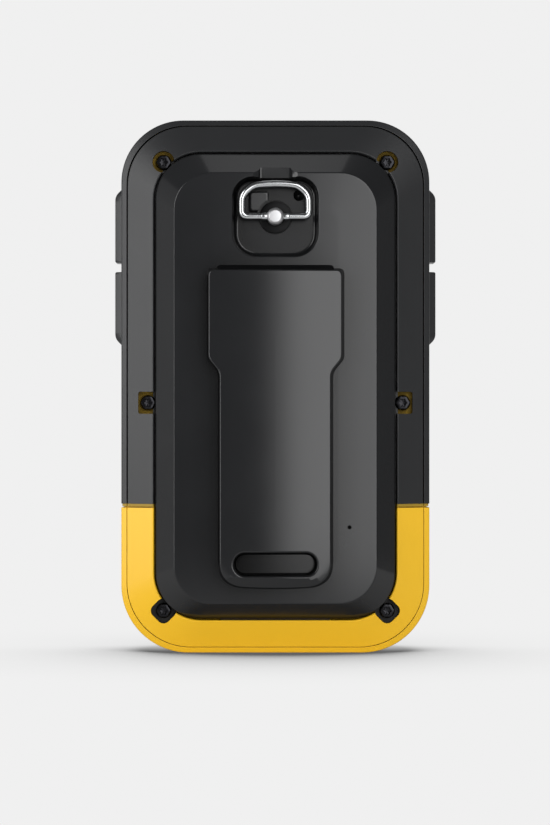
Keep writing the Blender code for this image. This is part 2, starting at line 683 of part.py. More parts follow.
def make_rear_frame():
    """Yellow frame round the battery opening: slanted rim, ledge for the door seal, screw pockets."""
    start = frame_start()
    ledge = outline(LEDGE_HALF_WIDTH, LEDGE_LOW, LEDGE_HIGH, LEDGE_RADIUS, LEDGE_RADIUS)
    rebate = start + REBATE_WIDTH
    rings = [
        (rim_outline(start), FRAME_UNDERSIDE - REBATE_HEIGHT),
        (rim_outline(start), rim_depth(start)),
        (rim_outline(RIM_FACE), -RIM_RISE),
        (rim_outline(RIM_INSET), RIM_BEVEL_DROP - RIM_RISE),
        (rim_outline(RIM_INSET), LEDGE_DEPTH),
        (ledge, LEDGE_DEPTH),
        (ledge, FRAME_UNDERSIDE),
        (rim_outline(rebate), FRAME_UNDERSIDE),
        (rim_outline(rebate), FRAME_UNDERSIDE - REBATE_HEIGHT),
    ]
    piece = loft("rear_frame", rings, "yellow_plastic", closed=True)
    low = start - PARTING_GAP
    high = RIM_INSET + RIM_BEVEL
    drop = SKIN + GAP
    step = [
        (rim_outline(low), rim_depth(low) - RIM_RISE),
        (rim_outline(high), rim_depth(high) - RIM_RISE),
        (rim_outline(high), rim_depth(high) + drop + RIM_BEVEL_DROP + RIM_BEVEL),
        (rim_outline(RIM_FACE), drop - RIM_RISE),
        (rim_outline(low), rim_depth(low) + drop),
    ]
    step_cutter = loft("skin_step", step, closed=True)
    cut(piece, keep_side(step_cutter, SEAM_HEIGHT - SEAM_GAP / 2.0, above=True))
    cut(piece, *pocket_cutters())
    for x, z in SCREW_PLACES.values():
        hole = disc(x, z, SCREW_RADIUS + RUNNING_GAP, FINE_STEPS)
        cut(piece, prism("screw_hole", hole, POCKET_FLOOR - CASE_WALL, FRAME_UNDERSIDE + CASE_WALL))
    hook_half = HOOK_WIDTH / 2.0 + GAP
    hook_back = LIP_UNDERSIDE - HOOK_THICKNESS - GAP
    hook_low = OPENING_LOW - HOOK_REACH - GAP
    cut(piece, block("hook_pocket", (-hook_half, hook_half), (hook_back, LEDGE_DEPTH),
                     (hook_low, OPENING_LOW + GAP)))
    smooth(piece)
    return piece


def make_rear_overmould():
    """Soft black skin on the rim above the seam, cut through at the screw pockets."""
    start = frame_start()
    rings = [
        (rim_outline(start), rim_depth(start)),
        (rim_outline(RIM_FACE), -RIM_RISE),
        (rim_outline(RIM_INSET), RIM_BEVEL_DROP - RIM_RISE),
        (rim_outline(RIM_INSET), RIM_BEVEL_DROP - RIM_RISE + SKIN),
        (rim_outline(RIM_FACE), SKIN - RIM_RISE),
        (rim_outline(start), rim_depth(start) + SKIN),
    ]
    piece = loft("rear_overmould", rings, "black_rubber", closed=True)
    keep_side(piece, SEAM_HEIGHT + SEAM_GAP / 2.0, above=True)
    cut(piece, *pocket_cutters(SEAM_HEIGHT))
    smooth(piece)
    return piece


def make_case_gasket():
    """Seal ring in the rebate between the rear frame and the front case."""
    outer = frame_start() + GAP
    inner = frame_start() + REBATE_WIDTH - GAP
    back = FRAME_UNDERSIDE - REBATE_HEIGHT + GAP
    rings = [(rim_outline(outer), back), (rim_outline(outer), FRAME_UNDERSIDE),
             (rim_outline(inner), FRAME_UNDERSIDE), (rim_outline(inner), back)]
    return loft("case_gasket", rings, "seal_grey", closed=True)


def door_gasket_outline(inset):
    """Outline of the door seal at an inset from the opening, held clear of the hook at the bottom."""
    radius = OPENING_RADIUS - inset
    return outline(OPENING_HALF_WIDTH - inset, OPENING_LOW + DOOR_GASKET_LOW + inset - DOOR_GASKET_INSET,
                   OPENING_HIGH - inset, radius, radius)


def make_door_gasket():
    """Flat seal ring on the ledge under the door lip."""
    outer = door_gasket_outline(DOOR_GASKET_INSET)
    inner = door_gasket_outline(DOOR_GASKET_INSET + DOOR_GASKET_WIDTH)
    back = LIP_UNDERSIDE + GAP
    front = LEDGE_DEPTH - GAP
    rings = [(outer, back), (outer, front), (inner, front), (inner, back)]
    return loft("door_gasket", rings, "seal_grey", closed=True)


def make_battery_tray():
    """Open tray for two cells, with a shelf above them that carries the latch keeper on two posts."""
    flange_half = LEDGE_HALF_WIDTH + TRAY_FLANGE
    flange = outline(flange_half, LEDGE_LOW - TRAY_FLANGE + GAP, LEDGE_HIGH + TRAY_FLANGE - GAP,
                     TRAY_FLANGE_RADIUS, TRAY_FLANGE_RADIUS)
    piece = prism("battery_tray", flange, TRAY_BACK, TRAY_BACK + TRAY_FLANGE_THICKNESS, "black_plastic")
    tray_low = BAY_LOW - TRAY_END_WALL + TRAY_FLANGE / 2.0
    tray_high = LEDGE_HIGH - TRAY_FLANGE / 2.0
    body_back = TRAY_BACK + TRAY_FLANGE_THICKNESS / 2.0
    add(piece, block("tray_body", (-TRAY_HALF_WIDTH, TRAY_HALF_WIDTH), (body_back, TRAY_FRONT),
                     (tray_low, tray_high)))
    post_out = KEEPER_WIDTH / 2.0
    post_in = post_out - KEEPER_POST_WIDTH
    for x_range in ((-post_out, -post_in), (post_in, post_out)):
        add(piece, block("keeper_post", x_range, (KEEPER_FRONT + GAP, body_back), keeper_span()))
    cut(piece, block("bay", (-BAY_HALF_WIDTH, BAY_HALF_WIDTH), (TRAY_BACK - TRAY_WALL, TRAY_FLOOR),
                     (BAY_LOW, BAY_HIGH)))
    shelf_front = TRAY_BACK + TRAY_SHELF_THICKNESS
    cut(piece, block("antenna_bay", (-BAY_HALF_WIDTH, BAY_HALF_WIDTH), (shelf_front, TRAY_FRONT + TRAY_WALL),
                     (BAY_HIGH + TRAY_WALL, tray_high - TRAY_WALL)))
    return piece


def make_cells():
    """Two cells side by side, turned end for end."""
    centre_x = CELL_RADIUS + CELL_SPACE / 2.0
    shoulder = CELL_LENGTH - CELL_NUB_HEIGHT
    profile = [(CELL_RADIUS, 0.0), (CELL_RADIUS, shoulder)]
    profile += [(CELL_NUB_RADIUS, shoulder), (CELL_NUB_RADIUS, CELL_LENGTH)]
    flipped = [(radius, CELL_LENGTH - along) for radius, along in profile]
    left = turned("cell_left", profile, (-centre_x, CELL_AXIS_DEPTH, CELL_LOW), "Z", "cell_wrap")
    right = turned("cell_right", flipped, (centre_x, CELL_AXIS_DEPTH, CELL_LOW), "Z", "cell_wrap")
    smooth(left, right)
    return [left, right]


def make_contacts():
    """One end contact under each cell and a bridge across the top of both."""
    far = BAY_HALF_WIDTH - CONTACT_MARGIN
    depth = (CELL_AXIS_DEPTH - CONTACT_DEPTH / 2.0, CELL_AXIS_DEPTH + CONTACT_DEPTH / 2.0)
    low = (BAY_LOW + GAP, BAY_LOW + GAP + CONTACT_THICKNESS)
    high = (BAY_HIGH - GAP - CONTACT_THICKNESS, BAY_HIGH - GAP)
    return [
        block("contact_left", (-far, -CONTACT_MARGIN), depth, low, "nickel"),
        block("contact_right", (CONTACT_MARGIN, far), depth, low, "nickel"),
        block("contact_bridge", (-far, far), depth, high, "nickel"),
    ]


def make_board_pieces():
    """Main board behind the display, with the antenna, shield can, buzzer and stick switch on it."""
    board = prism("main_board", outline(BOARD_HALF_WIDTH, BOARD_LOW, BOARD_HIGH, BOARD_RADIUS, BOARD_RADIUS),
                  BOARD_BACK, BOARD_FRONT, "board_green")
    room = BOSS_RADIUS + GAP
    for x, z in SCREW_PLACES.values():
        near_side = abs(x) - room < BOARD_HALF_WIDTH
        near_end = BOARD_LOW < z + room and z - room < BOARD_HIGH
        if near_side and near_end:
            notch = disc(x, z, room, FINE_STEPS)
            cut(board, prism("boss_room", notch, BOARD_BACK - CASE_WALL, BOARD_FRONT + CASE_WALL))
    half = ANTENNA_SIDE / 2.0
    antenna_z = (BAY_HIGH + TRAY_WALL + LEDGE_HIGH - TRAY_FLANGE / 2.0 - TRAY_WALL) / 2.0
    antenna = block("gnss_antenna", (-half, half), (BOARD_BACK - GAP - ANTENNA_THICKNESS, BOARD_BACK - GAP),
                    (antenna_z - half, antenna_z + half), "ceramic")
    shield_half = SHIELD_WIDTH / 2.0
    shield_low = BOARD_LOW + BOARD_RADIUS
    shield_back = BOARD_FRONT + GAP
    shield = block("shield_can", (-shield_half, shield_half), (shield_back, shield_back + SHIELD_THICKNESS),
                   (shield_low, shield_low + SHIELD_HEIGHT), "nickel")
    buzzer = turned("buzzer", [(BUZZER_RADIUS, 0.0), (BUZZER_RADIUS, BUZZER_THICKNESS)],
                    (BUZZER_X, BOARD_FRONT + GAP, STICK_Z), "Y", "black_plastic", FINE_STEPS)
    side = STICK_SWITCH_SIDE / 2.0
    switch_front = stick_back() - STICK_TRAVEL - RUNNING_GAP
    switch = block("stick_switch", (STICK_X - side, STICK_X + side), (BOARD_FRONT + GAP, switch_front),
                   (STICK_Z - side, STICK_Z + side), "black_plastic")
    return [board, antenna, shield, buzzer, switch]


def stick_back():
    """Depth of the thumb stick's inner end, on the inside of the front wall."""
    return FRONT_WALL_INSIDE - GAP - STICK_FLANGE_THICKNESS


def make_thumb_stick():
    """Round cap on a stem that is held behind the front wall by a flange."""
    start = stick_back()
    flange = start + STICK_FLANGE_THICKNESS
    dish = STICK_CAP_HEIGHT / 3.0
    profile = [(STICK_FLANGE_RADIUS, start), (STICK_FLANGE_RADIUS, flange), (STICK_RADIUS, flange),
               (STICK_RADIUS, STICK_CAP_BACK), (STICK_CAP_RADIUS, STICK_CAP_BACK),
               (STICK_CAP_RADIUS, STICK_CAP_FRONT - dish), (STICK_CAP_RADIUS - dish, STICK_CAP_FRONT)]
    piece = turned("thumb_stick", profile, (STICK_X, 0.0, STICK_Z), "Y", "black_rubber")
    smooth(piece)
    return piece


def make_display():
    """Backlight, panel, lens seal and lens, stacked in front of the board."""
    window = -LENS_SEAT_WIDTH
    backlight = prism("lcd_backlight", lens_outline(window + PANEL_OVERLAP / 2.0), BACKLIGHT_BACK,
                      BACKLIGHT_BACK + BACKLIGHT_THICKNESS, "diffuser")
    panel = prism("lcd_panel", lens_outline(window + PANEL_OVERLAP), PANEL_BACK,
                  PANEL_BACK + PANEL_THICKNESS, "panel_grey")
    outer = lens_outline(-GAP)
    inner = lens_outline(GAP - LENS_SEAT_WIDTH)
    back = LENS_GASKET_BACK
    front = LENS_GASKET_BACK + LENS_GASKET_THICKNESS
    rings = [(outer, back), (outer, front), (inner, front), (inner, back)]
    gasket = loft("lens_gasket", rings, "seal_grey", closed=True)
    lens = prism("display_lens", lens_outline(0.0), LENS_BACK, LENS_FRONT, "lens_dark")
    return [backlight, panel, gasket, lens]


def make_key(name, sign, low, high, ramp_up):
    """One side key: a cap with one ramped end, on a flange that stays inside the wall."""
    base = KEY_FLANGE_IN + KEY_FLANGE / 2.0
    ramp = KEY_FACE_X - HALF_WIDTH
    if ramp_up:
        side = [(base, low), (KEY_FACE_X, low), (KEY_FACE_X, high - ramp), (HALF_WIDTH, high), (base, high)]
    else:
        side = [(base, low), (HALF_WIDTH, low), (KEY_FACE_X, low + ramp), (KEY_FACE_X, high), (base, high)]
    piece = prism(name, [(sign * x, z) for x, z in side], KEY_BACK, KEY_FRONT, "black_rubber")
    ends = sorted((sign * KEY_FLANGE_IN, sign * KEY_FLANGE_OUT))
    flange_depth = (KEY_BACK - KEY_FLANGE_LIP, KEY_FRONT + KEY_FLANGE_LIP)
    add(piece, block("key_flange", ends, flange_depth, (low, high)))
    return piece


def make_keys():
    """Four keys, two on each side; the ramps are at the far ends of each pair."""
    keys = []
    for side_name, sign in SIDES:
        for place, (low, high) in KEY_SPANS.items():
            keys.append(make_key(f"key_{place}_{side_name}", sign, low, high, ramp_up=place == "upper"))
    return keys


def make_key_switches():
    """Behind each pair of keys: a membrane, two snap domes and a strip that stands on the board's edge."""
    pieces = []
    span = (LOWER_KEY_LOW, UPPER_KEY_HIGH)
    for side_name, sign in SIDES:
        membrane_ends = sorted((sign * MEMBRANE_IN, sign * MEMBRANE_OUT))
        strip_ends = sorted((sign * STRIP_IN, sign * STRIP_OUT))
        pieces.append(block(f"key_membrane_{side_name}", membrane_ends, (KEY_BACK, KEY_FRONT), span,
                            "seal_grey"))
        pieces.append(block(f"key_strip_{side_name}", strip_ends, (KEY_BACK, BOARD_BACK - GAP), span,
                            "strip_amber"))
        for place, (low, high) in KEY_SPANS.items():
            profile = [(DOME_RADIUS, sign * DOME_IN), (DOME_RADIUS / 2.0, sign * DOME_OUT)]
            centre = (0.0, KEY_DEPTH, (low + high) / 2.0)
            pieces.append(turned(f"key_dome_{place}_{side_name}", profile, centre, "X", "nickel", FINE_STEPS))
    return pieces


def make_battery_door():
    """Door shell: lip, chamfer and plateau, with the latch recess, finger notch, hook and small holes."""
    lip = outline(LIP_HALF_WIDTH, LIP_LOW, LIP_HIGH, LIP_RADIUS, LIP_RADIUS)
    plateau = outline(PLATEAU_HALF_WIDTH, PLATEAU_LOW, PLATEAU_HIGH, PLATEAU_RADIUS, PLATEAU_RADIUS)
    inner_radius = PLATEAU_RADIUS - DOOR_WALL
    inside = outline(PLATEAU_HALF_WIDTH - DOOR_WALL, PLATEAU_LOW + DOOR_WALL, PLATEAU_HIGH - DOOR_WALL,
                     inner_radius, inner_radius)
    mouth_low = OPENING_LOW + DOOR_GASKET_LOW + DOOR_GASKET_WIDTH + GAP
    mouth = outline(LIP_HALF_WIDTH - LIP_WIDTH, mouth_low, LIP_HIGH - LIP_WIDTH, LIP_RADIUS - LIP_WIDTH,
                    LIP_RADIUS - LIP_WIDTH)
    rings = [(plateau, PLATEAU_DEPTH), (lip, LIP_DEPTH), (lip, LIP_UNDERSIDE), (mouth, LIP_UNDERSIDE),
             (inside, DOOR_INSIDE)]
    piece = loft("battery_door", rings, "black_plastic")
    backing_half = RECESS_HALF_WIDTH + RECESS_WALL
    backing_depth = (PLATEAU_DEPTH + DOOR_WALL / 2.0, RECESS_BACKING)
    add(piece, block("recess_backing", (-backing_half, backing_half), backing_depth,
                     (RECESS_LOW - RECESS_WALL, RECESS_HIGH + RECESS_WALL)))
    above = PLATEAU_DEPTH - DOOR_WALL
    recess = outline(RECESS_HALF_WIDTH, RECESS_LOW, RECESS_HIGH, RECESS_TOP_RADIUS, RECESS_BOTTOM_RADIUS)
    cut(piece, prism("recess", recess, above, RECESS_FLOOR))
    floor_half = NOTCH_FLOOR_WIDTH / 2.0
    flare = NOTCH_FLARE / NOTCH_DEPTH
    mouth_half = floor_half + flare * (NOTCH_DEPTH + DOOR_WALL)
    notch_z = (RECESS_HIGH - RECESS_TOP_RADIUS, PLATEAU_HIGH + NOTCH_PAST_EDGE + DOOR_WALL)
    notch_floor = rectangle(-floor_half, floor_half, *notch_z)
    notch_mouth = rectangle(-mouth_half, mouth_half, *notch_z)
    cut(piece, loft("finger_notch", [(notch_floor, PLATEAU_DEPTH + NOTCH_DEPTH), (notch_mouth, above)]))
    add(piece, make_stop_block())
    beyond = RECESS_BACKING + DOOR_WALL
    stem_hole = disc(0.0, STEM_Z, SHAFT_RADIUS + RUNNING_GAP)
    seal_room = disc(0.0, STEM_Z, SHAFT_RADIUS + SEAL_WIDTH + 2.0 * GAP)
    cut(piece, prism("stem_hole", stem_hole, above, beyond))
    cut(piece, prism("seal_room", seal_room, RECESS_BACKING - SEAL_THICKNESS - GAP, beyond))
    inside_wall = DOOR_INSIDE + DOOR_WALL
    cut(piece, prism("vent", disc(VENT_X, vent_z(), VENT_RADIUS, FINE_STEPS), above, inside_wall))
    for peg_z in peg_heights():
        cut(piece, prism("peg_hole", disc(0.0, peg_z, PEG_RADIUS + GAP, FINE_STEPS), above, inside_wall))
    hook_half = HOOK_WIDTH / 2.0
    hook_depth = (LIP_UNDERSIDE - HOOK_THICKNESS, LIP_UNDERSIDE - THIN_GAP)
    add(piece, block("hook", (-hook_half, hook_half), hook_depth,
                     (OPENING_LOW - HOOK_REACH, LIP_LOW + LIP_THICKNESS)))
    smooth(piece)
    return piece


def make_stop_block():
    """Small block on the recess floor, hollowed where the rotor passes."""
    clear = ROTOR_RADIUS + GAP
    start = math.degrees(math.atan2(STOP_LOW, -math.sqrt(clear ** 2 - STOP_LOW ** 2)))
    end = math.degrees(math.atan2(math.sqrt(clear ** 2 - STOP_RIGHT ** 2), -STOP_RIGHT))
    points = [(-STOP_LEFT, STEM_Z + STOP_LOW)] + arc(0.0, STEM_Z, clear, start, end)
    points += [(-STOP_RIGHT, STEM_Z + STOP_HIGH), (-STOP_LEFT, STEM_Z + STOP_HIGH)]
    rooted = RECESS_FLOOR + RECESS_FLOOR_THICKNESS / 4.0
    return prism("stop_block", points, PLATEAU_DEPTH + STOP_BELOW_FACE, rooted)


def vent_z():
    """Height of the vent hole on the door."""
    return PLATEAU_LOW + VENT_RISE


def make_vent_membrane():
    """Breathing disc behind the vent hole."""
    back = DOOR_INSIDE + GAP
    return prism("vent_membrane", disc(VENT_X, vent_z(), VENT_DISC_RADIUS, FINE_STEPS), back,
                 back + VENT_DISC_THICKNESS, "diffuser")


def spine_low():
    """Lower end of the mounting spine."""
    return PLATEAU_LOW + SPINE_ABOVE_EDGE


def spine_high():
    """Upper end of the spine's base, below the latch recess."""
    return RECESS_LOW - SPINE_TO_RECESS


def peg_heights():
    """Heights of the two pegs that hold the spine on the door."""
    middle = (spine_low() + spine_high()) / 2.0
    return (middle - PEG_SPACING / 2.0, middle + PEG_SPACING / 2.0)


def plate_outline(inset):
    """Outline of the spine's plate: wide above its shoulders, narrow below, round at the bottom."""
    low = spine_low() + inset
    high = spine_high() - SPINE_PLATE_DROP - inset
    wide = SPINE_PLATE_WIDTH / 2.0 - inset
    narrow = SPINE_NARROW_WIDTH / 2.0 - inset
    shoulder_high = spine_high() - SPINE_PLATE_DROP - SPINE_WIDE_LENGTH
    shoulder_low = shoulder_high - SPINE_SHOULDER
    radius = SPINE_LOW_RADIUS - inset
    right = arc(narrow - radius, low + radius, radius, -90.0, 0.0)
    right += [(narrow, shoulder_low), (wide, shoulder_high)]
    right += arc(wide - SPINE_TOP_RADIUS, high - SPINE_TOP_RADIUS, SPINE_TOP_RADIUS, 0.0, 90.0, 2)
    return right + [(-x, z) for x, z in reversed(right)]


def make_mounting_spine():
    """Fixed rail on the door: a base, an overhanging plate with a blind slot, and two pegs."""
    base_front = SPINE_FACE + SPINE_PLATE_THICKNESS
    base = outline(SPINE_BASE_WIDTH / 2.0, spine_low(), spine_high(), SPINE_TOP_RADIUS, SPINE_LOW_RADIUS)
    piece = prism("mounting_spine", base, base_front - SPINE_EDGE_BEVEL, SPINE_BASE_BACK, "black_plastic")
    plate = [(plate_outline(0.0), base_front), (plate_outline(0.0), SPINE_FACE + SPINE_EDGE_BEVEL),
             (plate_outline(SPINE_EDGE_BEVEL), SPINE_FACE)]
    add(piece, loft("spine_plate", plate))
    for peg_z in peg_heights():
        peg = disc(0.0, peg_z, PEG_RADIUS, FINE_STEPS)
        add(piece, prism("peg", peg, base_front, DOOR_INSIDE - THIN_GAP))
    slot_low = spine_low() + SPINE_SLOT_RISE
    slot = outline(SPINE_SLOT_WIDTH / 2.0, slot_low, slot_low + SPINE_SLOT_HEIGHT,
                   SPINE_SLOT_RADIUS, SPINE_SLOT_RADIUS)
    cut(piece, prism("spine_slot", slot, SPINE_FACE - SPINE_PLATE_THICKNESS, SPINE_FACE + SPINE_SLOT_DEPTH))
    smooth(piece)
    return piece


def make_latch():
    """Latch: stem with the ring's cross hole and a rotor disc, seal, tongue and tongue screw."""
    place = (0.0, 0.0, STEM_Z)
    rotor_front = ROTOR_BACK + ROTOR_THICKNESS
    profile = [(STEM_HEAD_RADIUS, STEM_TOP), (STEM_HEAD_RADIUS, ROTOR_BACK), (ROTOR_RADIUS, ROTOR_BACK),
               (ROTOR_RADIUS, rotor_front), (SHAFT_RADIUS, rotor_front), (SHAFT_RADIUS, STEM_END)]
    stem = turned("latch_stem", profile, place, "Y", "steel")
    reach = 2.0 * STEM_HEAD_RADIUS
    cross = turned("cross_hole", [(WIRE_RADIUS + RUNNING_GAP, -reach), (WIRE_RADIUS + RUNNING_GAP, reach)],
                   (0.0, RING_AXIS_DEPTH, STEM_Z), "X", "steel", FINE_STEPS)
    screw_end = TONGUE_FRONT + GAP - TONGUE_SCREW_LENGTH - TONGUE_THICKNESS
    bore_radius = TONGUE_SCREW_RADIUS + GAP
    bore = turned("stem_bore", [(bore_radius, screw_end - GAP), (bore_radius, STEM_END + GAP)],
                  place, "Y", "steel", FINE_STEPS)
    cut(stem, cross, bore)

    inner = disc(0.0, STEM_Z, SHAFT_RADIUS + GAP)
    outer = disc(0.0, STEM_Z, SHAFT_RADIUS + GAP + SEAL_WIDTH)
    seal_front = RECESS_BACKING - THIN_GAP
    seal_back = seal_front - SEAL_THICKNESS
    rings = [(outer, seal_back), (outer, seal_front), (inner, seal_front), (inner, seal_back)]
    seal = loft("latch_seal", rings, "seal_grey", closed=True)

    tongue_half = TONGUE_WIDTH / 2.0
    tongue_corner = tongue_half / 2.0
    tongue_shape = outline(tongue_half, STEM_Z - TONGUE_HEEL, STEM_Z + TONGUE_REACH, tongue_corner,
                           tongue_corner)
    tongue = prism("latch_tongue", tongue_shape, TONGUE_BACK, TONGUE_FRONT, "steel")
    cut(tongue, prism("tongue_hole", disc(0.0, STEM_Z, bore_radius, FINE_STEPS),
                      TONGUE_BACK - TONGUE_THICKNESS, TONGUE_FRONT + TONGUE_THICKNESS))

    head = TONGUE_FRONT + GAP
    head_end = head + TONGUE_SCREW_HEAD_HEIGHT
    screw_profile = [(TONGUE_SCREW_RADIUS, screw_end), (TONGUE_SCREW_RADIUS, head)]
    screw_profile += [(TONGUE_SCREW_HEAD_RADIUS, head), (TONGUE_SCREW_HEAD_RADIUS, head_end)]
    screw = turned("tongue_screw", screw_profile, place, "Y", "steel", FINE_STEPS)
    smooth(stem, seal, screw)
    return [stem, tongue, screw], seal


def keeper_span():
    """Heights between which the latch keeper lies."""
    return (STEM_Z - TONGUE_HEEL - KEEPER_MARGIN, STEM_Z + TONGUE_REACH + KEEPER_MARGIN)


def make_latch_keeper():
    """Slotted plate that the latch tongue drops through and turns under."""
    half = KEEPER_WIDTH / 2.0
    piece = block("latch_keeper", (-half, half), (KEEPER_BACK, KEEPER_FRONT), keeper_span(), "steel")
    slot_half = TONGUE_WIDTH / 2.0 + 2.0 * GAP
    slot_depth = (KEEPER_BACK - KEEPER_THICKNESS, KEEPER_FRONT + KEEPER_THICKNESS)
    cut(piece, block("keeper_slot", (-slot_half, slot_half), slot_depth,
                     (STEM_Z - TONGUE_HEEL - 2.0 * GAP, STEM_Z + TONGUE_REACH + 2.0 * GAP)))
    return piece


def make_d_ring():
    """Wire ring whose straight lower bar runs through the stem; it lies flat in the recess."""
    half = RING_WIDTH / 2.0 - WIRE_RADIUS
    top = RING_REACH - WIRE_RADIUS
    low_bend = RING_LOW_RADIUS
    high_bend = RING_TOP_RADIUS
    path = arc(half - low_bend, low_bend, low_bend, -90.0, 0.0, 4)
    path += arc(half - high_bend, top - high_bend, high_bend, 0.0, 90.0, 8)
    path += [(-x, z) for x, z in reversed(path)]
    curve = bpy.data.curves.new("d_ring", "CURVE")
    curve.dimensions = "3D"
    curve.bevel_depth = WIRE_RADIUS
    curve.bevel_resolution = 2
    spline = curve.splines.new("POLY")
    spline.points.add(len(path) - 1)
    for point, (x, z) in zip(spline.points, path):
        point.co = (x, RING_AXIS_DEPTH, STEM_Z + z, 1.0)
    spline.use_cyclic_u = True
    curve.materials.append(finish("steel"))
    piece = bpy.data.objects.new("d_ring", curve)
    bpy.context.scene.collection.objects.link(piece)
    return piece


def make_case_screws():
    """Six screws with sunk socket heads, from the rear frame into the front case."""
    screws = []
    head_front = POCKET_FLOOR - GAP
    head_back = head_front - SCREW_HEAD_HEIGHT
    for name, (x, z) in SCREW_PLACES.items():
        profile = [(SCREW_HEAD_RADIUS, head_back), (SCREW_HEAD_RADIUS, head_front)]
        profile += [(SCREW_RADIUS, head_front), (SCREW_RADIUS, head_front + SCREW_LENGTH)]
        screw = turned(name, profile, (x, 0.0, z), "Y", "dark_steel", FINE_STEPS)
        cut(screw, prism("socket", disc(x, z, SCREW_SOCKET_RADIUS, 6), head_back - SCREW_HEAD_HEIGHT,
                         head_back + SCREW_SOCKET_DEPTH))
        smooth(screw)
        screws.append(screw)
    return screws


def empty_at(name, location, parent=None):
    """Empty that marks a frame or a joint axis, placed in the unit's own coordinates."""
    marker = bpy.data.objects.new(name, None)
    bpy.context.scene.collection.objects.link(marker)
    marker.location = location
    if parent is not None:
        hang(marker, parent)
    return marker


def hang(piece, marker):
    """Parent a piece to a marker and keep it where it was modelled."""
    piece.parent = marker
    piece.matrix_parent_inverse = Matrix.Translation(-marker.location)


def clear_scene():
    """Remove whatever the open file holds."""
    for item in list(bpy.data.objects):
        bpy.data.objects.remove(item)


def build():
    """Model every piece and hang the moving ones on markers at their joint axes."""
    clear_scene()
    case_pieces = [make_front_case(), make_front_overmould(), make_rear_frame(), make_rear_overmould()]
    case_pieces += [make_case_gasket(), make_door_gasket(), make_battery_tray(), make_latch_keeper()]
    case_pieces += make_cells() + make_contacts() + make_board_pieces() + make_display()
    case_pieces += make_key_switches() + make_case_screws()
    for key in make_keys() + [make_thumb_stick()]:
        case_pieces.append(key)
    latch_pieces, seal = make_latch()
    door_pieces = [make_battery_door(), make_mounting_spine(), make_vent_membrane(), seal]
    ring = make_d_ring()

    unit = empty_at("unit", (0.0, 0.0, 0.0))
    door_axis = empty_at("door_axis", (0.0, LIP_DEPTH, LIP_LOW), unit)
    latch_axis = empty_at("latch_axis", (0.0, RING_AXIS_DEPTH, STEM_Z), door_axis)
    for piece in case_pieces:
        hang(piece, unit)
    for piece in door_pieces:
        hang(piece, door_axis)
    for piece in latch_pieces + [ring]:
        hang(piece, latch_axis)
    unit.location = (0.0, PARTING_Y, 0.0)


build()
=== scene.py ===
# %% [markdown]
# # A handheld GPS unit, seen from its back
#
# The frame holds the model: every piece, every joint and the right size. This lesson dresses
# it. Each piece that shows is worked out again as a fine surface and rides on the same body as the
# plain one, so the door, the latch, the ring and the keys keep moving as before.

# %% Load the frame
import math

import bmesh
import bpy
import numpy as np
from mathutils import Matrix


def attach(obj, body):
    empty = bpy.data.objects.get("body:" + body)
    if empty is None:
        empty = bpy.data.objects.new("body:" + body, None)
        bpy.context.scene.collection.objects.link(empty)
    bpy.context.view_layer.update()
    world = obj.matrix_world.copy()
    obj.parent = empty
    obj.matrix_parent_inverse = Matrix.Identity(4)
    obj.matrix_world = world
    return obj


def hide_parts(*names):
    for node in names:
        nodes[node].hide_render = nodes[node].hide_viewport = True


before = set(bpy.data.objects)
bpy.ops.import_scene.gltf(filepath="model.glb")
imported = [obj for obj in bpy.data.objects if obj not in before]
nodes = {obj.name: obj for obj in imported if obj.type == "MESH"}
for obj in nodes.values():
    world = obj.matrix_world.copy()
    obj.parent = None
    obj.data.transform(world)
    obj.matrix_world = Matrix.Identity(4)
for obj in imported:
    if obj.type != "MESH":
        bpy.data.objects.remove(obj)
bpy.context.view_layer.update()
MM = 0.001

# %% [markdown]
# ## The camera
#
# The photograph looks straight and level at the back. A long lens from a little over half a metre gives
# the same mild perspective. The long side of the sensor is the height of the picture.

# %% Camera
camera_data = bpy.data.cameras.new("photo_camera")
camera_data.sensor_width = 36.0
camera_data.lens = 126.0
camera = bpy.data.objects.new("photo_camera", camera_data)
camera.location = (-0.07 * MM, -555.2 * MM, 45.75 * MM)
camera.rotation_euler = (math.pi / 2.0, 0.0, 0.0)
bpy.context.scene.collection.objects.link(camera)
bpy.context.scene.camera = camera
print("camera at", tuple(round(value, 4) for value in camera.location))

# %% [markdown]
# ## Surfaces from two parameters
#
# Nearly every piece here is a rounded rectangle that changes as it goes deeper. One parameter runs
# round the outline, the other along the profile. Modelling by hand in edit mode would also work, but a
# formula keeps wall, fillet and gap in step when one size changes. A station is a row of six numbers:
# half width, low and high end, upper and lower corner radius, and depth behind or before the parting
# plane of the case.

# %% Outlines, profiles and skins
PARTING_Y = -5.2 * MM
CORNER_STEPS = 22
SIDE_STEPS = 28


def rounded_loops(stations):
    """Closed outlines in (x, z), one for each station.

    A corner point is the corner's centre plus its radius times (cos a, sin a) over a quarter turn. A side
    point is a straight blend of the two corner points it lies between, so all outlines have equally many
    points.
    """
    half_width, low, high, top_radius, low_radius = np.asarray(stations, float).T[:5]
    radius = np.stack([low_radius, top_radius, top_radius, low_radius], 1)
    centre_x = np.array([1.0, 1.0, -1.0, -1.0]) * (half_width[:, None] - radius)
    centre_z = np.stack([low, high, high, low], 1) + np.array([1.0, -1.0, -1.0, 1.0]) * radius
    turn = np.radians(np.array([[-90.0], [0.0], [90.0], [180.0]]) + np.linspace(0.0, 90.0, CORNER_STEPS + 1))
    arcs = np.stack([centre_x[..., None] + radius[..., None] * np.cos(turn),
                     centre_z[..., None] + radius[..., None] * np.sin(turn)], -1)
    start = arcs[:, :, -1:]
    end = np.roll(arcs[:, :, :1], -1, axis=1)
    sides = start + (end - start) * np.linspace(0.0, 1.0, SIDE_STEPS + 1)[1:-1, None]
    return np.concatenate([arcs, sides], 2).reshape(len(radius), -1, 2)


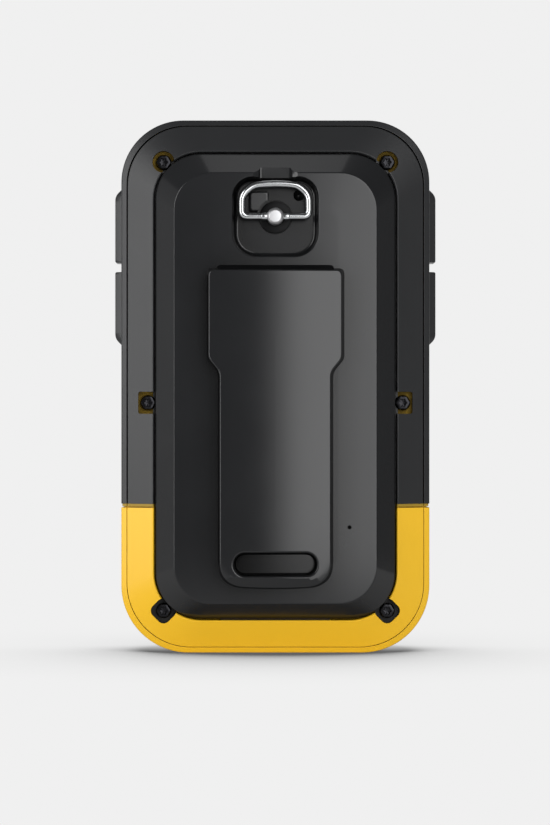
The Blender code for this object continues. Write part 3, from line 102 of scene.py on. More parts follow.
def soften(corners, cuts, steps=5, measured=(0, -1)):
    """Profile whose corners are rounded.

    A and B lie one cut away from a corner along its two edges. The corner becomes the curve
    (1-t)^2 A + 2t(1-t) corner + t^2 B, with one more point just outside A and B to keep the flats flat.
    """
    corners = np.asarray(corners, float)
    cuts = np.asarray(cuts, float)[:, None]

    def towards(neighbours, share):
        edge = neighbours - corners
        length = np.linalg.norm(edge[:, list(measured)], axis=1, keepdims=True)
        return corners + edge * np.minimum(share * cuts / np.maximum(length, 1e-9), 0.5)

    before, after = np.roll(corners, 1, 0), np.roll(corners, -1, 0)
    t = np.linspace(0.0, 1.0, steps + 1)[:, None]
    first, last = towards(before, 1.0)[:, None], towards(after, 1.0)[:, None]
    curve = (1.0 - t) ** 2 * first + 2.0 * t * (1.0 - t) * corners[:, None] + t ** 2 * last
    near, far = towards(before, 1.25)[:, None], towards(after, 1.25)[:, None]
    return np.concatenate([near, curve, far], 1).reshape(-1, corners.shape[1])


def place(loops, depths):
    """Outlines in (x, z) set at their depths: points (x, parting plane + depth, z)."""
    depths = np.broadcast_to(np.asarray(depths, float).reshape(-1, 1), loops.shape[:2])
    return np.stack([loops[..., 0], PARTING_Y + depths, loops[..., 1]], -1)


def loft_grid(stations):
    """Grid of points over stations: rows go along the profile, columns round the outline."""
    stations = np.asarray(stations, float)
    return place(rounded_loops(stations), stations[:, 5])


def stepped(outline, steps):
    """Grid of points over steps of (inset, depth), each row the outline at its inset."""
    insets, depths = np.transpose(steps)
    return place(np.stack([outline(inset) for inset in insets]) * MM, depths * MM)


def rectangle(left, right, low, high):
    """Four corners in (x, z)."""
    return np.array([[left, low], [right, low], [right, high], [left, high]])


def to_middle(loop, shares):
    """Copies of an outline drawn towards its middle line by shares from 0 to 1.

    The middle point of (x, z) is (0, z kept half a width inside the ends), so the last copy is a line.
    """
    reach = np.abs(loop[:, 0]).max()
    middle_z = (loop[:, 1].min() + loop[:, 1].max()) / 2.0
    low, high = min(loop[:, 1].min() + reach, middle_z), max(loop[:, 1].max() - reach, middle_z)
    middle = np.stack([np.zeros(len(loop)), np.clip(loop[:, 1], low, high)], -1)
    return loop + (middle - loop) * np.asarray(shares, float)[:, None, None]


def clean(mesh):
    """Merge doubled points, close open ends and turn all faces outwards."""
    work = bmesh.new()
    work.from_mesh(mesh)
    bmesh.ops.remove_doubles(work, verts=work.verts, dist=1e-3 * MM)
    bmesh.ops.dissolve_degenerate(work, edges=work.edges, dist=1e-3 * MM)
    bmesh.ops.holes_fill(work, edges=[edge for edge in work.edges if edge.is_boundary], sides=0)
    bmesh.ops.recalc_face_normals(work, faces=work.faces)
    work.to_mesh(mesh)
    work.free()


def skin(name, grid, wrap=False):
    """Closed mesh over a grid: columns join round, wrapped rows join end to start, open ends are closed."""
    rows, count = grid.shape[:2]
    index = np.arange(rows * count).reshape(rows, count)
    first = index if wrap else index[:-1]
    second = np.roll(index, -1, 0) if wrap else index[1:]
    faces = np.stack([first, np.roll(first, -1, 1), np.roll(second, -1, 1), second], -1).reshape(-1, 4)
    mesh = bpy.data.meshes.new(name)
    mesh.from_pydata(grid.reshape(-1, 3).tolist(), [], faces.tolist())
    clean(mesh)
    piece = bpy.data.objects.new(name, mesh)
    bpy.context.scene.collection.objects.link(piece)
    return piece


def slice_level(piece, low=None, high=None):
    """Keep what lies between two heights and close the cuts."""
    work = bmesh.new()
    work.from_mesh(piece.data)
    for height, upper in ((low, True), (high, False)):
        if height is not None:
            bmesh.ops.bisect_plane(work, geom=work.verts[:] + work.edges[:] + work.faces[:], dist=1e-4 * MM,
                                   plane_co=(0.0, 0.0, height), plane_no=(0.0, 0.0, 1.0),
                                   clear_inner=upper, clear_outer=not upper)
            bmesh.ops.holes_fill(work, edges=[edge for edge in work.edges if edge.is_boundary], sides=0)
    work.to_mesh(piece.data)
    work.free()
    clean(piece.data)
    return piece


def combine(piece, tools, operation):
    """Cut tools from the piece, or join them to it, with exact Booleans."""
    for tool in tools:
        modifier = piece.modifiers.new("shape", "BOOLEAN")
        modifier.operation = operation
        modifier.solver = "EXACT"
        modifier.object = tool
        graph = bpy.context.evaluated_depsgraph_get()
        shaped = bpy.data.meshes.new_from_object(piece.evaluated_get(graph))
        piece.modifiers.clear()
        piece.data = shaped
        bpy.data.objects.remove(tool)
    clean(piece.data)
    piece.data.name = piece.name
    return piece


def join(piece, *others):
    """Put the meshes of other pieces into the first one."""
    work = bmesh.new()
    for each in (piece, *others):
        work.from_mesh(each.data)
    work.to_mesh(piece.data)
    work.free()
    for each in others:
        bpy.data.objects.remove(each)
    return piece


def dress(piece, body, material, replaced, sharp=32.0, even=False):
    """Give a finished piece its material, shading and body, and let it stand for its plain nodes."""
    piece.data.materials.clear()
    piece.data.materials.append(material)
    piece.data.shade_smooth()
    piece.data.set_sharp_from_angle(angle=math.radians(sharp))
    if even:
        weighted = piece.modifiers.new("even_normals", "WEIGHTED_NORMAL")
        weighted.keep_sharp = True
    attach(piece, body)
    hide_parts(*replaced)
    print(piece.name, "has", len(piece.data.polygons), "faces")
    return piece


print("helpers ready")

# %% [markdown]
# ## Finishes
#
# Moulded plastic and rubber are never one flat colour: the tool leaves a fine grain, the colour drifts
# a little and edges that hands touch turn smoother. Images could carry that, but noise on Object
# coordinates has no seams and keeps its scale in millimetres. Corners also get painted shade from
# ambient occlusion. Four small node groups hold what several finishes share.

# %% Shared node groups
def add_node(tree, kind, sockets=None, **settings):
    """New node with its settings; each socket gets a value, or a link where an output socket is given."""
    node = tree.nodes.new(kind)
    for key, value in settings.items():
        setattr(node, key, value)
    for key, value in (sockets or {}).items():
        if isinstance(value, bpy.types.NodeSocket):
            tree.links.new(value, node.inputs[key])
        else:
            node.inputs[key].default_value = value
    return node


def reckon(tree, operation, *values):
    """Output of a Math node; each value is a number or an output socket."""
    return add_node(tree, "ShaderNodeMath", dict(enumerate(values)), operation=operation).outputs["Value"]


def mix_colour(tree, factor, first, second):
    """Output of a colour Mix node; each colour is a value or an output socket."""
    sockets = {"Factor": factor, "A": first, "B": second}
    return add_node(tree, "ShaderNodeMix", sockets, data_type="RGBA").outputs["Result"]


def new_material(name):
    """New material with its tree and its Principled shader."""
    material = bpy.data.materials.new(name)
    material.use_nodes = True
    return material, material.node_tree, material.node_tree.nodes["Principled BSDF"]


def new_group(name, inputs, outputs):
    """Empty shader group with float sockets; gives the tree, its input node and its output node."""
    tree = bpy.data.node_groups.new(name, "ShaderNodeTree")
    for socket, value in inputs.items():
        made = tree.interface.new_socket(socket, in_out="INPUT", socket_type="NodeSocketFloat")
        made.default_value = value
    for socket in outputs:
        tree.interface.new_socket(socket, in_out="OUTPUT", socket_type="NodeSocketFloat")
    return tree, tree.nodes.new("NodeGroupInput"), tree.nodes.new("NodeGroupOutput")


# Height is two octaves of fine noise; Drift is one broad noise. Both run from 0 to 1.
mould_grain, grain_in, grain_out = new_group(
    "mould_grain", {"Fine": 4000.0, "Broad": 60.0}, ["Height", "Drift"])
grain_place = add_node(mould_grain, "ShaderNodeTexCoord").outputs["Object"]
fine_noise = add_node(mould_grain, "ShaderNodeTexNoise", {
    "Vector": grain_place, "Scale": grain_in.outputs["Fine"], "Detail": 2.0, "Roughness": 0.6})
broad_noise = add_node(mould_grain, "ShaderNodeTexNoise", {
    "Vector": grain_place, "Scale": grain_in.outputs["Broad"], "Detail": 3.0, "Roughness": 0.55})
mould_grain.links.new(fine_noise.outputs["Fac"], grain_out.inputs["Height"])
mould_grain.links.new(broad_noise.outputs["Fac"], grain_out.inputs["Drift"])

# Mask rises where the surface bulges sharply, broken up by noise: edges that are touched most.
rubbed_edges, rubbed_in, rubbed_out = new_group("rubbed_edges", {"Start": 0.53, "Full": 0.62}, ["Mask"])
bulge = add_node(rubbed_edges, "ShaderNodeNewGeometry").outputs["Pointiness"]
rubbed_ramp = add_node(rubbed_edges, "ShaderNodeMapRange", {
    "Value": bulge, "From Min": rubbed_in.outputs["Start"], "From Max": rubbed_in.outputs["Full"]})
rubbed_place = add_node(rubbed_edges, "ShaderNodeTexCoord").outputs["Object"]
rubbed_noise = add_node(rubbed_edges, "ShaderNodeTexNoise", {
    "Vector": rubbed_place, "Scale": 900.0, "Detail": 3.0})
rubbed_mask = reckon(rubbed_edges, "MULTIPLY", rubbed_ramp.outputs["Result"], rubbed_noise.outputs["Fac"])
rubbed_edges.links.new(rubbed_mask, rubbed_out.inputs["Mask"])


def painted_shade_group(name, own_only):
    """Group for painted shade: Open is 1 on free surfaces and falls to 0 in corners; own_only leaves other
    pieces out.
    """
    tree, group_in, group_out = new_group(name, {"Reach": 0.006}, ["Open"])
    nearby = add_node(tree, "ShaderNodeAmbientOcclusion", {"Distance": group_in.outputs["Reach"]}, samples=4)
    nearby.only_local = own_only
    share = add_node(tree, "ShaderNodeMapRange", {
        "Value": nearby.outputs["AO"], "From Min": 0.5, "From Max": 0.97})
    tree.links.new(share.outputs["Result"], group_out.inputs["Open"])
    return tree


painted_shade_all_pieces = painted_shade_group("painted_shade_all_pieces", False)
painted_shade_own_piece = painted_shade_group("painted_shade_own_piece", True)
print("groups:", [group.name for group in bpy.data.node_groups])

# %% One recipe for moulded and metal finishes
GRAIN_DEPTH = 0.02 * MM


def place_group(tree, group, **sockets):
    """Group node in a material, with its inputs set."""
    node = add_node(tree, "ShaderNodeGroup", node_tree=group)
    for key, value in sockets.items():
        node.inputs[key].default_value = value
    return node


def moulded(name, colour, roughness, grain_mm, bump, drift=0.12, specular=0.5, metallic=0.0, rubbed=0.0,
            rough_drift=0.03, broad_mm=16.0, painted_shade_share=0.0, corner_rough=0.0, corner_mm=6.0,
            painted_shade_from=painted_shade_all_pieces):
    """Principled finish: the colour drifts by a share, the roughness drifts with it, the grain is a bump.

    Rubbed edges go towards a lighter colour by the given share of the mask. Corners get painted shade:
    ambient occlusion takes away a share of their colour, and they gain roughness; corner_mm says how far a
    corner reaches.
    """
    material, tree, shader = new_material(name)
    shader.inputs["Specular IOR Level"].default_value = specular
    shader.inputs["Metallic"].default_value = metallic
    grain = place_group(tree, mould_grain, Fine=1.0 / (grain_mm * MM), Broad=1.0 / (broad_mm * MM))
    dark = tuple(value * (1.0 - drift) for value in colour) + (1.0,)
    light = tuple(value * (1.0 + drift) for value in colour) + (1.0,)
    colour_out = mix_colour(tree, grain.outputs["Drift"], dark, light)
    if rubbed > 0.0:
        edges = place_group(tree, rubbed_edges)
        worn = tuple(min(1.0, value * 2.2 + 0.01) for value in colour) + (1.0,)
        share = reckon(tree, "MULTIPLY", edges.outputs["Mask"], rubbed)
        colour_out = mix_colour(tree, share, colour_out, worn)
    rough = add_node(tree, "ShaderNodeMapRange", {
        "Value": grain.outputs["Drift"],
        "To Min": roughness - rough_drift, "To Max": roughness + rough_drift})
    rough_out = rough.outputs["Result"]
    # Painted shade: corners mix towards a darker copy of the colour.
    if painted_shade_share > 0.0:
        corners = place_group(tree, painted_shade_from, Reach=corner_mm * MM)
        shaded = tuple(value * (1.0 - painted_shade_share) for value in colour) + (1.0,)
        colour_out = mix_colour(tree, corners.outputs["Open"], shaded, colour_out)
        dull = add_node(tree, "ShaderNodeMapRange", {
            "Value": corners.outputs["Open"], "To Min": corner_rough, "To Max": 0.0})
        rough_out = reckon(tree, "ADD", rough_out, dull.outputs["Result"])
    tree.links.new(colour_out, shader.inputs["Base Color"])
    tree.links.new(rough_out, shader.inputs["Roughness"])
    relief = add_node(tree, "ShaderNodeBump", {
        "Height": grain.outputs["Height"], "Strength": bump, "Distance": GRAIN_DEPTH})
    tree.links.new(relief.outputs["Normal"], shader.inputs["Normal"])
    return material


# Each finish: colour, roughness, grain in millimetres, strength of the grain, then what differs.
soft_black = moulded("soft_black_rubber", (0.0170, 0.0175, 0.0186), 0.34, 0.30, 0.14,
                     specular=0.30, rubbed=0.15)
# The satin black gets painted shade in its corners and hollows.
hard_black = moulded("satin_black_plastic", (0.0128, 0.0132, 0.0142), 0.16, 0.26, 0.05,
                     specular=0.30, rubbed=0.12, painted_shade_share=0.8, corner_rough=0.05)
# The rail's core and the slot floor are a darker copy of the black, painted shade, with painted shade in
# corners too.
rail_black_painted_shade = moulded("rail_black_painted_shade", (0.0045, 0.0046, 0.0050), 0.24, 0.24, 0.08,
                          specular=0.20, painted_shade_share=0.8)
# Very dark black for the latch rotor and for the pad under the rail, whose dark line is a painted shadow.
rotor_and_painted_shadow_black = moulded("rotor_and_painted_shadow_black", (0.0034, 0.0035, 0.0038), 0.42, 0.24, 0.10, specular=0.10)
# The seam's step is a darker copy of the yellow: painted shade.
seam_painted_shade_yellow = moulded("seam_shaded_yellow", (0.34, 0.215, 0.018), 0.45, 0.34, 0.12, drift=0.03, specular=0.25)
matt_black = moulded("matt_black_plastic", (0.0075, 0.0077, 0.0082), 0.50, 0.24, 0.12, specular=0.22)
# The yellow gets painted shade in the pockets and grooves of its own piece.
yellow = moulded("signal_yellow_plastic", (0.84, 0.49, 0.019), 0.36, 0.34, 0.12, drift=0.025, specular=0.32,
                 painted_shade_share=0.88, corner_rough=0.35, corner_mm=2.6, painted_shade_from=painted_shade_own_piece)
# The yellow inside the screw pockets gets painted shade from every piece near it.
pocket_yellow = moulded("pocket_yellow_plastic", (0.84, 0.52, 0.019), 0.36, 0.34, 0.12, drift=0.025,
                        specular=0.20, painted_shade_share=0.88, corner_rough=0.35, corner_mm=2.6)
polished_steel = moulded("polished_steel_wire", (0.46, 0.47, 0.48), 0.19, 0.12, 0.06, drift=0.05,
                         metallic=1.0, rough_drift=0.04, broad_mm=4.0)
satin_steel = moulded("satin_steel_end", (0.50, 0.50, 0.51), 0.46, 0.12, 0.10, drift=0.05,
                      metallic=1.0, broad_mm=4.0)
black_steel = moulded("blackened_screw_steel", (0.017, 0.017, 0.0188), 0.27, 0.15, 0.25, drift=0.2,
                      metallic=1.0)
plate_steel = moulded("pressed_plate_steel", (0.52, 0.52, 0.53), 0.30, 0.20, 0.20, drift=0.1, metallic=1.0)
nickel = moulded("nickel_plate", (0.66, 0.62, 0.54), 0.24, 0.20, 0.18, drift=0.1, metallic=1.0)
seal_rubber = moulded("grey_seal_rubber", (0.055, 0.055, 0.058), 0.62, 0.30, 0.45, drift=0.15)
key_black = moulded("key_black_rubber", (0.0215, 0.0220, 0.0232), 0.34, 0.24, 0.16,
                    specular=0.30, rubbed=0.15)
print("finishes:", [material.name for material in bpy.data.materials if material.users == 0])

# %% [markdown]
# ## The case halves
#
# The real case is two yellow mouldings with a soft black skin moulded over them above the seam. The
# seam shows a paler step and a thin groove. Each half is one closed profile carried round the outline.
# Cutting the same profile at the seam heights, each time drawn in by another amount, gives the step and
# the groove without any sculpting.

# %% Case outlines, in millimetres
CASE_HALF, CASE_HIGH = 29.35, 101.4
TOP_CORNER, LOW_CORNER, OPENING_CORNER = 11.8, 12.8, 9.0
RIM_FACE, RIM_END, RIM_RISE = 5.9, 6.35, 2.7
SKIN_END, LAND_END, GROOVE_END = 28.42, 27.92, 27.65
LAND_DROP, GROOVE_DROP, CORE_DROP = 0.18, 0.6, 1.1
FRONT_FACE = 19.4
LENS_HALF, LENS_LOW, LENS_HIGH, LENS_CORNER = 20.2, 31.0, 83.0, 4.0
SIDES = ((-1, "left"), (1, "right"))


def case_row(inset, depth, sole=None):
    """Station of the case outline drawn in by an inset, with its own inset at the sole."""
    low = inset if sole is None else sole
    top_radius, low_radius = max(TOP_CORNER - inset, 2.0), max(LOW_CORNER - inset, 2.0)
    return [CASE_HALF - inset, low, CASE_HIGH - inset, top_radius, low_radius, depth]


def rim_row(inset, drop=0.0):
    """Station on the slanted rim: depth falls evenly with the inset, corners run towards the opening's."""
    share = inset / RIM_END
    top = TOP_CORNER + (OPENING_CORNER - TOP_CORNER) * share
    low = LOW_CORNER + (OPENING_CORNER - LOW_CORNER) * share
    return [CASE_HALF - inset, inset, CASE_HIGH - inset, top, low, drop - RIM_RISE * inset / RIM_FACE]


def at_depth(row, depth):
    """The same outline at another depth."""
    return row[:5] + [depth]


def lens_row(margin, depth):
    """Station of the display opening, grown by a margin."""
    corner = LENS_CORNER + margin
    return [LENS_HALF + margin, LENS_LOW - margin, LENS_HIGH + margin, corner, corner, depth]


def slab(name, x_range, depth_range, z_range):
    """Plain box as a cutting tool."""
    loop = rectangle(*x_range, *z_range) * MM
    return skin(name, place(np.stack([loop, loop]), np.array(depth_range) * MM))


def turned(name, profile, centre, axis="Y", steps=48, lobes=None, ring=False):
    """Surface of revolution: point = centre + along the axis + radius (cos a, sin a) across it, row by row.

    Rows named in lobes have the radius times 1 + share cos(6a), for six-lobed sockets. A ring joins its last
    row to its first.
    """
    profile = np.asarray(profile, float) * MM
    turn = np.linspace(0.0, 2.0 * math.pi, steps, endpoint=False)
    share = np.zeros(len(profile)) if lobes is None else np.asarray(lobes, float)
    radius = profile[:, :1] * (1.0 + share[:, None] * np.cos(6.0 * turn))
    along = np.broadcast_to(profile[:, 1:], radius.shape)
    order = {"X": [2, 0, 1], "Y": [0, 2, 1], "Z": [0, 1, 2]}[axis]
    grid = np.stack([radius * np.cos(turn), radius * np.sin(turn), along], -1)[..., order]
    return skin(name, grid + np.array([0.0, PARTING_Y, 0.0]) + np.asarray(centre, float) * MM, wrap=ring)


print("case is", 2 * CASE_HALF, "by", CASE_HIGH, "mm")

# %% Front half
FRONT_CUTS = [0.08, 0.22, 2.2, 1.7, 1.4, 1.4, 0.3, 0.2]
KEY_SPANS = {"upper": (74.5, 88.7), "lower": (58.5, 72.7)}
KEY_ROOM, KEY_WELL = 0.3, (3.4, 10.6)
STICK_X, STICK_Z = 12.0, 87.1
LENS_ROOM, WINDOW_INSET, LENS_SEAT, WALL_INSIDE = 0.3, 2.4, 16.9, 15.6


def front_turn(drop):
    """Stations where the side wall turns into the front face, drawn in by a drop."""
    return [case_row(0.35 + drop, 13.0, drop),
            case_row(1.08 + 0.9 * drop, 16.2 - 0.4 * drop, 0.51 + 0.9 * drop),
            case_row(2.59 + 0.6 * drop, 18.2 - 0.8 * drop, 1.98 + 0.6 * drop),
            case_row(5.55 + 0.2 * drop, FRONT_FACE - drop, 4.6 + 0.2 * drop)]


def front_shell(name, drop, wall, low=None, high=None):
    """Front shell between two heights: outside drawn in by the drop, inside by drop and wall."""
    inside = drop + wall
    rows = [rim_row(1.05, 1.1 * drop), case_row(drop, 0.64 * drop)] + front_turn(drop)
    rows += [lens_row(LENS_ROOM, FRONT_FACE - drop), lens_row(LENS_ROOM, FRONT_FACE - inside)]
    rows += front_turn(inside)[::-1] + [case_row(inside, 2.0), case_row(1.05 + drop, 2.0)]
    cuts = FRONT_CUTS + [0.0] * (len(rows) - len(FRONT_CUTS))
    shell = skin(name, loft_grid(soften(rows, cuts) * MM), wrap=True)
    return slice_level(shell, low and low * MM, high and high * MM)


def front_openings():
    """Tools for the four key openings and the hole of the thumb stick."""
    tools = [slab("key_opening", sorted((side * 24.2, side * 33.0)), KEY_WELL,
                  (low - KEY_ROOM, high + KEY_ROOM))
             for side in (-1, 1) for low, high in KEY_SPANS.values()]
    return tools + [turned("stick_opening", [[2.2, 14.0], [2.2, 21.0]], (STICK_X, 0.0, STICK_Z))]


front_skin = combine(front_shell("front_skin", 0.0, 1.0, low=SKIN_END), front_openings(), "DIFFERENCE")
dress(front_skin, "case", soft_black, ["front_overmould"])
core_rows = [case_row(1.3, 2.0)] + front_turn(1.3)
core_rows += [lens_row(LENS_ROOM, 18.1), lens_row(LENS_ROOM, LENS_SEAT)]
core_rows += [lens_row(-WINDOW_INSET, LENS_SEAT), lens_row(-WINDOW_INSET, WALL_INSIDE)]
core_rows += [case_row(4.85, WALL_INSIDE), case_row(3.25, 13.0), case_row(2.9, 2.0)]
front_core = skin("front_core", loft_grid(np.array(core_rows) * MM), wrap=True)
combine(slice_level(front_core, SKIN_END * MM), front_openings(), "DIFFERENCE")
front_foot = front_shell("front_foot", 0.0, 2.1, high=GROOVE_END)
front_groove = front_shell("front_groove", GROOVE_DROP, 1.5, GROOVE_END, LAND_END)
front_land = front_shell("front_land", LAND_DROP, 1.9, LAND_END, SKIN_END)
join(front_foot, front_groove, front_core)
dress(front_foot, "case", yellow, ["front_case"])
dress(front_land, "case", seam_painted_shade_yellow, ["front_case"])

# %% [markdown]
# ## The rear frame
#
# The frame screws on from behind with six screws in open pockets, and its slanted rim leads to the
# battery door. The black skin lies on the same rim above the seam. The pockets are cut as in a real
# tool: a plain core pulled straight out.

# %% Rear half
SCREWS = {"top": (21.25, 93.3), "side": (24.2, 47.6), "bottom": (21.25, 8.1)}
POCKET_HALF, POCKET_FLOOR, POCKET_TOP = 2.1, -0.2, -6.0
FRAME_START, SKIN_START, SKIN_WALL = 1.15, 1.24, 0.3
LIP_WIDTH, LIP_FALL = 0.2, 0.2


def rear_frame(name, drop, low=None, high=None, inner=RIM_END):
    """Rear frame between two heights, its rim drawn in by a drop; the profile ends on the seal ledge."""
    fall = 1.1 * drop
    ledge = [19.05, 10.3, 91.1, 5.5, 5.5, 0.5]
    rows = [at_depth(rim_row(FRAME_START), 0.9), rim_row(FRAME_START, fall), rim_row(inner - LIP_WIDTH, fall),
            at_depth(rim_row(inner), LIP_FALL - RIM_RISE + fall), at_depth(rim_row(inner), 0.5), ledge,
            at_depth(ledge, 1.7), at_depth(rim_row(2.9), 1.7), at_depth(rim_row(2.9), 0.9)]
    cuts = [0.0, 0.06, 0.12, 0.1, 0.0, 0.15, 0.0, 0.0, 0.0]
    ring = skin(name, loft_grid(soften(rows, cuts) * MM), wrap=True)
    return slice_level(ring, low and low * MM, high and high * MM)


def turned_square(name, half, depths, centre):
    """Rounded square prism between two depths, standing on one corner: (x, z) goes an eighth of a turn."""
    grid = loft_grid(np.array([[half, -half, half, 1.35, 1.35, depth] for depth in depths]) * MM)
    across = (grid[..., 0] - grid[..., 2]) * math.sqrt(0.5)
    up = (grid[..., 0] + grid[..., 2]) * math.sqrt(0.5)
    return skin(name, np.stack([across, grid[..., 1], up], -1) + np.array(centre) * MM)


def pocket(kind, side):
    """Tool for one screw pocket: round at the top, square at the side, turned square at the bottom."""
    x, z = SCREWS[kind]
    if kind == "top":
        wall = [[POCKET_HALF, POCKET_FLOOR], [POCKET_HALF, POCKET_TOP]]
        return turned("pocket", wall, (side * x, 0.0, z))
    if kind == "side":
        square = [2.535, -POCKET_HALF, POCKET_HALF, 0.4, 0.4, POCKET_FLOOR]
        rows = np.array([square, at_depth(square, POCKET_TOP)]) * MM
        return skin("pocket", loft_grid(rows) + np.array([side * 23.535, 0.0, z]) * MM)
    return turned_square("pocket", POCKET_HALF, (POCKET_FLOOR, POCKET_TOP), (side * x, 0.0, z))


def pockets(*kinds):
    """Pocket tools of the given kinds on both sides."""
    return [pocket(kind, side) for kind in kinds for side in (-1, 1)]


skin_rows = [rim_row(SKIN_START), rim_row(RIM_END - LIP_WIDTH),
             at_depth(rim_row(RIM_END), LIP_FALL - RIM_RISE),
             at_depth(rim_row(RIM_END), 0.25), at_depth(rim_row(RIM_END + 0.85), 0.25),
             at_depth(rim_row(RIM_END + 0.85), 0.42), at_depth(rim_row(RIM_END - SKIN_WALL), 0.42),
             at_depth(rim_row(RIM_END - SKIN_WALL), 1.0 - RIM_RISE), rim_row(SKIN_START, 0.8)]
skin_cuts = [0.1, 0.12, 0.1, 0.0, 0.0, 0.0, 0.0, 0.0, 0.0]
rear_skin = skin("rear_skin", loft_grid(soften(skin_rows, skin_cuts) * MM), wrap=True)
combine(slice_level(rear_skin, SKIN_END * MM), pockets("top", "side"), "DIFFERENCE")
dress(rear_skin, "case", soft_black, ["rear_overmould"])
rear_foot = rear_frame("rear_foot", 0.0, high=GROOVE_END)
hook_room = slab("hook_room", (-10.7, 10.7), (-1.7, 0.5), (4.6, 6.65))
combine(rear_foot, pockets("bottom") + [hook_room], "DIFFERENCE")
rear_groove = rear_frame("rear_groove", GROOVE_DROP, GROOVE_END, LAND_END)
rear_land = rear_frame("rear_land", LAND_DROP, LAND_END, SKIN_END)
rear_core = rear_frame("rear_core", CORE_DROP, SKIN_END, inner=RIM_END - SKIN_WALL)
combine(rear_core, pockets("top", "side"), "DIFFERENCE")
join(rear_foot, rear_groove)
dress(rear_foot, "case", yellow, ["rear_frame"])
dress(rear_land, "case", seam_painted_shade_yellow, ["rear_frame"])
dress(rear_core, "case", pocket_yellow, ["rear_frame"])

# %% [markdown]
# ## The battery door
#
# The door is a shallow tub: a lip all round, a chamfer, and a plateau that is faintly crowned from side
# to side. It carries a sunk field for the latch, a notch for the fingertip and a hook at the foot. The
# tub is one profile carried round, bent by a parabola; the sunk field is cut with a tool whose mouth
# flares, which leaves a soft edge.

# %% Door shell
STEM_Z, VENT_X, VENT_Z = 82.65, 13.95, 24.15
PLATEAU_DEPTH, DOOR_LIP, DOOR_INSIDE, FOOT_FALL = -6.95, -2.7, -5.2, 0.4
DOOR_CROWN, SPINE_CROWN, PLUG_CROWN, SPINE_APEX = 520.0, 120.0, 95.0, -2.4


def crowned(grid, radius, flat, full, apex=0.0):
    """Bend a back face from side to side: a point moves in by (x - apex)^2 / (2 radius).

    The bend is whole at the full depth and fades to nothing at the flat depth.
    """
    share = np.clip((grid[..., 1] - PARTING_Y - flat * MM) / ((full - flat) * MM), 0.0, 1.0)
    bent = grid.copy()
    bent[..., 1] += share * (grid[..., 0] - apex * MM) ** 2 / (2.0 * radius * MM)
    return bent


door_rows = [[12.1, 16.75, 83.85, 2.0, 2.0, PLATEAU_DEPTH], [19.1, 9.75, 90.85, 7.0, 7.0, PLATEAU_DEPTH],
             [22.7, 6.65, 94.75, 8.7, 8.7, DOOR_LIP], [22.7, 6.65, 94.75, 8.7, 8.7, -0.5],
             [19.8, 10.35, 91.85, 5.8, 5.8, -0.5], [17.5, 11.35, 89.25, 5.4, 5.4, DOOR_INSIDE],
             [12.0, 16.85, 83.75, 2.0, 2.0, DOOR_INSIDE]]
door_profile = soften(door_rows, [0.0, 0.18, 0.14, 0.12, 0.0, 0.6, 0.0]) * MM
door_grid = loft_grid(door_profile)
# At the foot the lip's edge lies deeper, on the hinge axis, so that it clears the rim as the door swings.
lip_rows = np.abs(door_profile[:, 5] - DOOR_LIP * MM) < 0.3 * MM
at_foot = np.clip((7.9 - door_grid[lip_rows, :, 2] / MM) / 0.9, 0.0, 1.0)
door_grid[lip_rows, :, 1] += FOOT_FALL * MM * at_foot
middle_shares = np.linspace(1.0, 0.0, 27)[:-1]
outer_fill = place(to_middle(door_grid[0][:, [0, 2]], middle_shares), PLATEAU_DEPTH * MM)
inner_fill = place(to_middle(door_grid[-1][:, [0, 2]], middle_shares[::-1]), DOOR_INSIDE * MM)
door_grid = np.concatenate([outer_fill, door_grid, inner_fill])
door_grid = crowned(door_grid, DOOR_CROWN, DOOR_LIP, PLATEAU_DEPTH)
door = skin("door_shell", door_grid)
print("door shell:", len(door.data.polygons), "faces")

# %% Latch field, notch, holes and hook
def grown(row, growth, depth):
    """Station of the same outline, grown evenly, at another depth."""
    half_width, low, high, top_radius, low_radius, _ = row
    return [half_width + growth, low - growth, high + growth, top_radius + growth, low_radius + growth, depth]


def grown_grid(mouth, steps):
    """Grid of points over steps of (growth, depth) of one mouth."""
    return loft_grid(np.array([grown(mouth, growth, depth) for growth, depth in steps]) * MM)


def notch_loop(half):
    """Outline of the fingertip notch at a half width."""
    return rectangle(-half, half, NOTCH_LOW, NOTCH_HIGH)


NOTCH_LOW, NOTCH_HIGH = 86.3, 94.0
FIELD_MOUTH = [8.06, 75.1, 90.1, 3.8, 4.5, -6.7]
# Steps of the field's tool: growth of the mouth and depth, from the filleted floor to the flared mouth.
field_steps = [(-1.0, -3.8), (-0.72, -3.86), (-0.5, -4.05), (-0.38, -4.4), (0.0, -6.7),
               (0.02, -6.8), (0.07, -6.88), (0.14, -6.93), (0.32, -7.02), (0.32, -9.0)]
field_grid = grown_grid(FIELD_MOUTH, field_steps)
field_tool = skin("latch_field", crowned(field_grid, DOOR_CROWN, -4.4, PLATEAU_DEPTH))
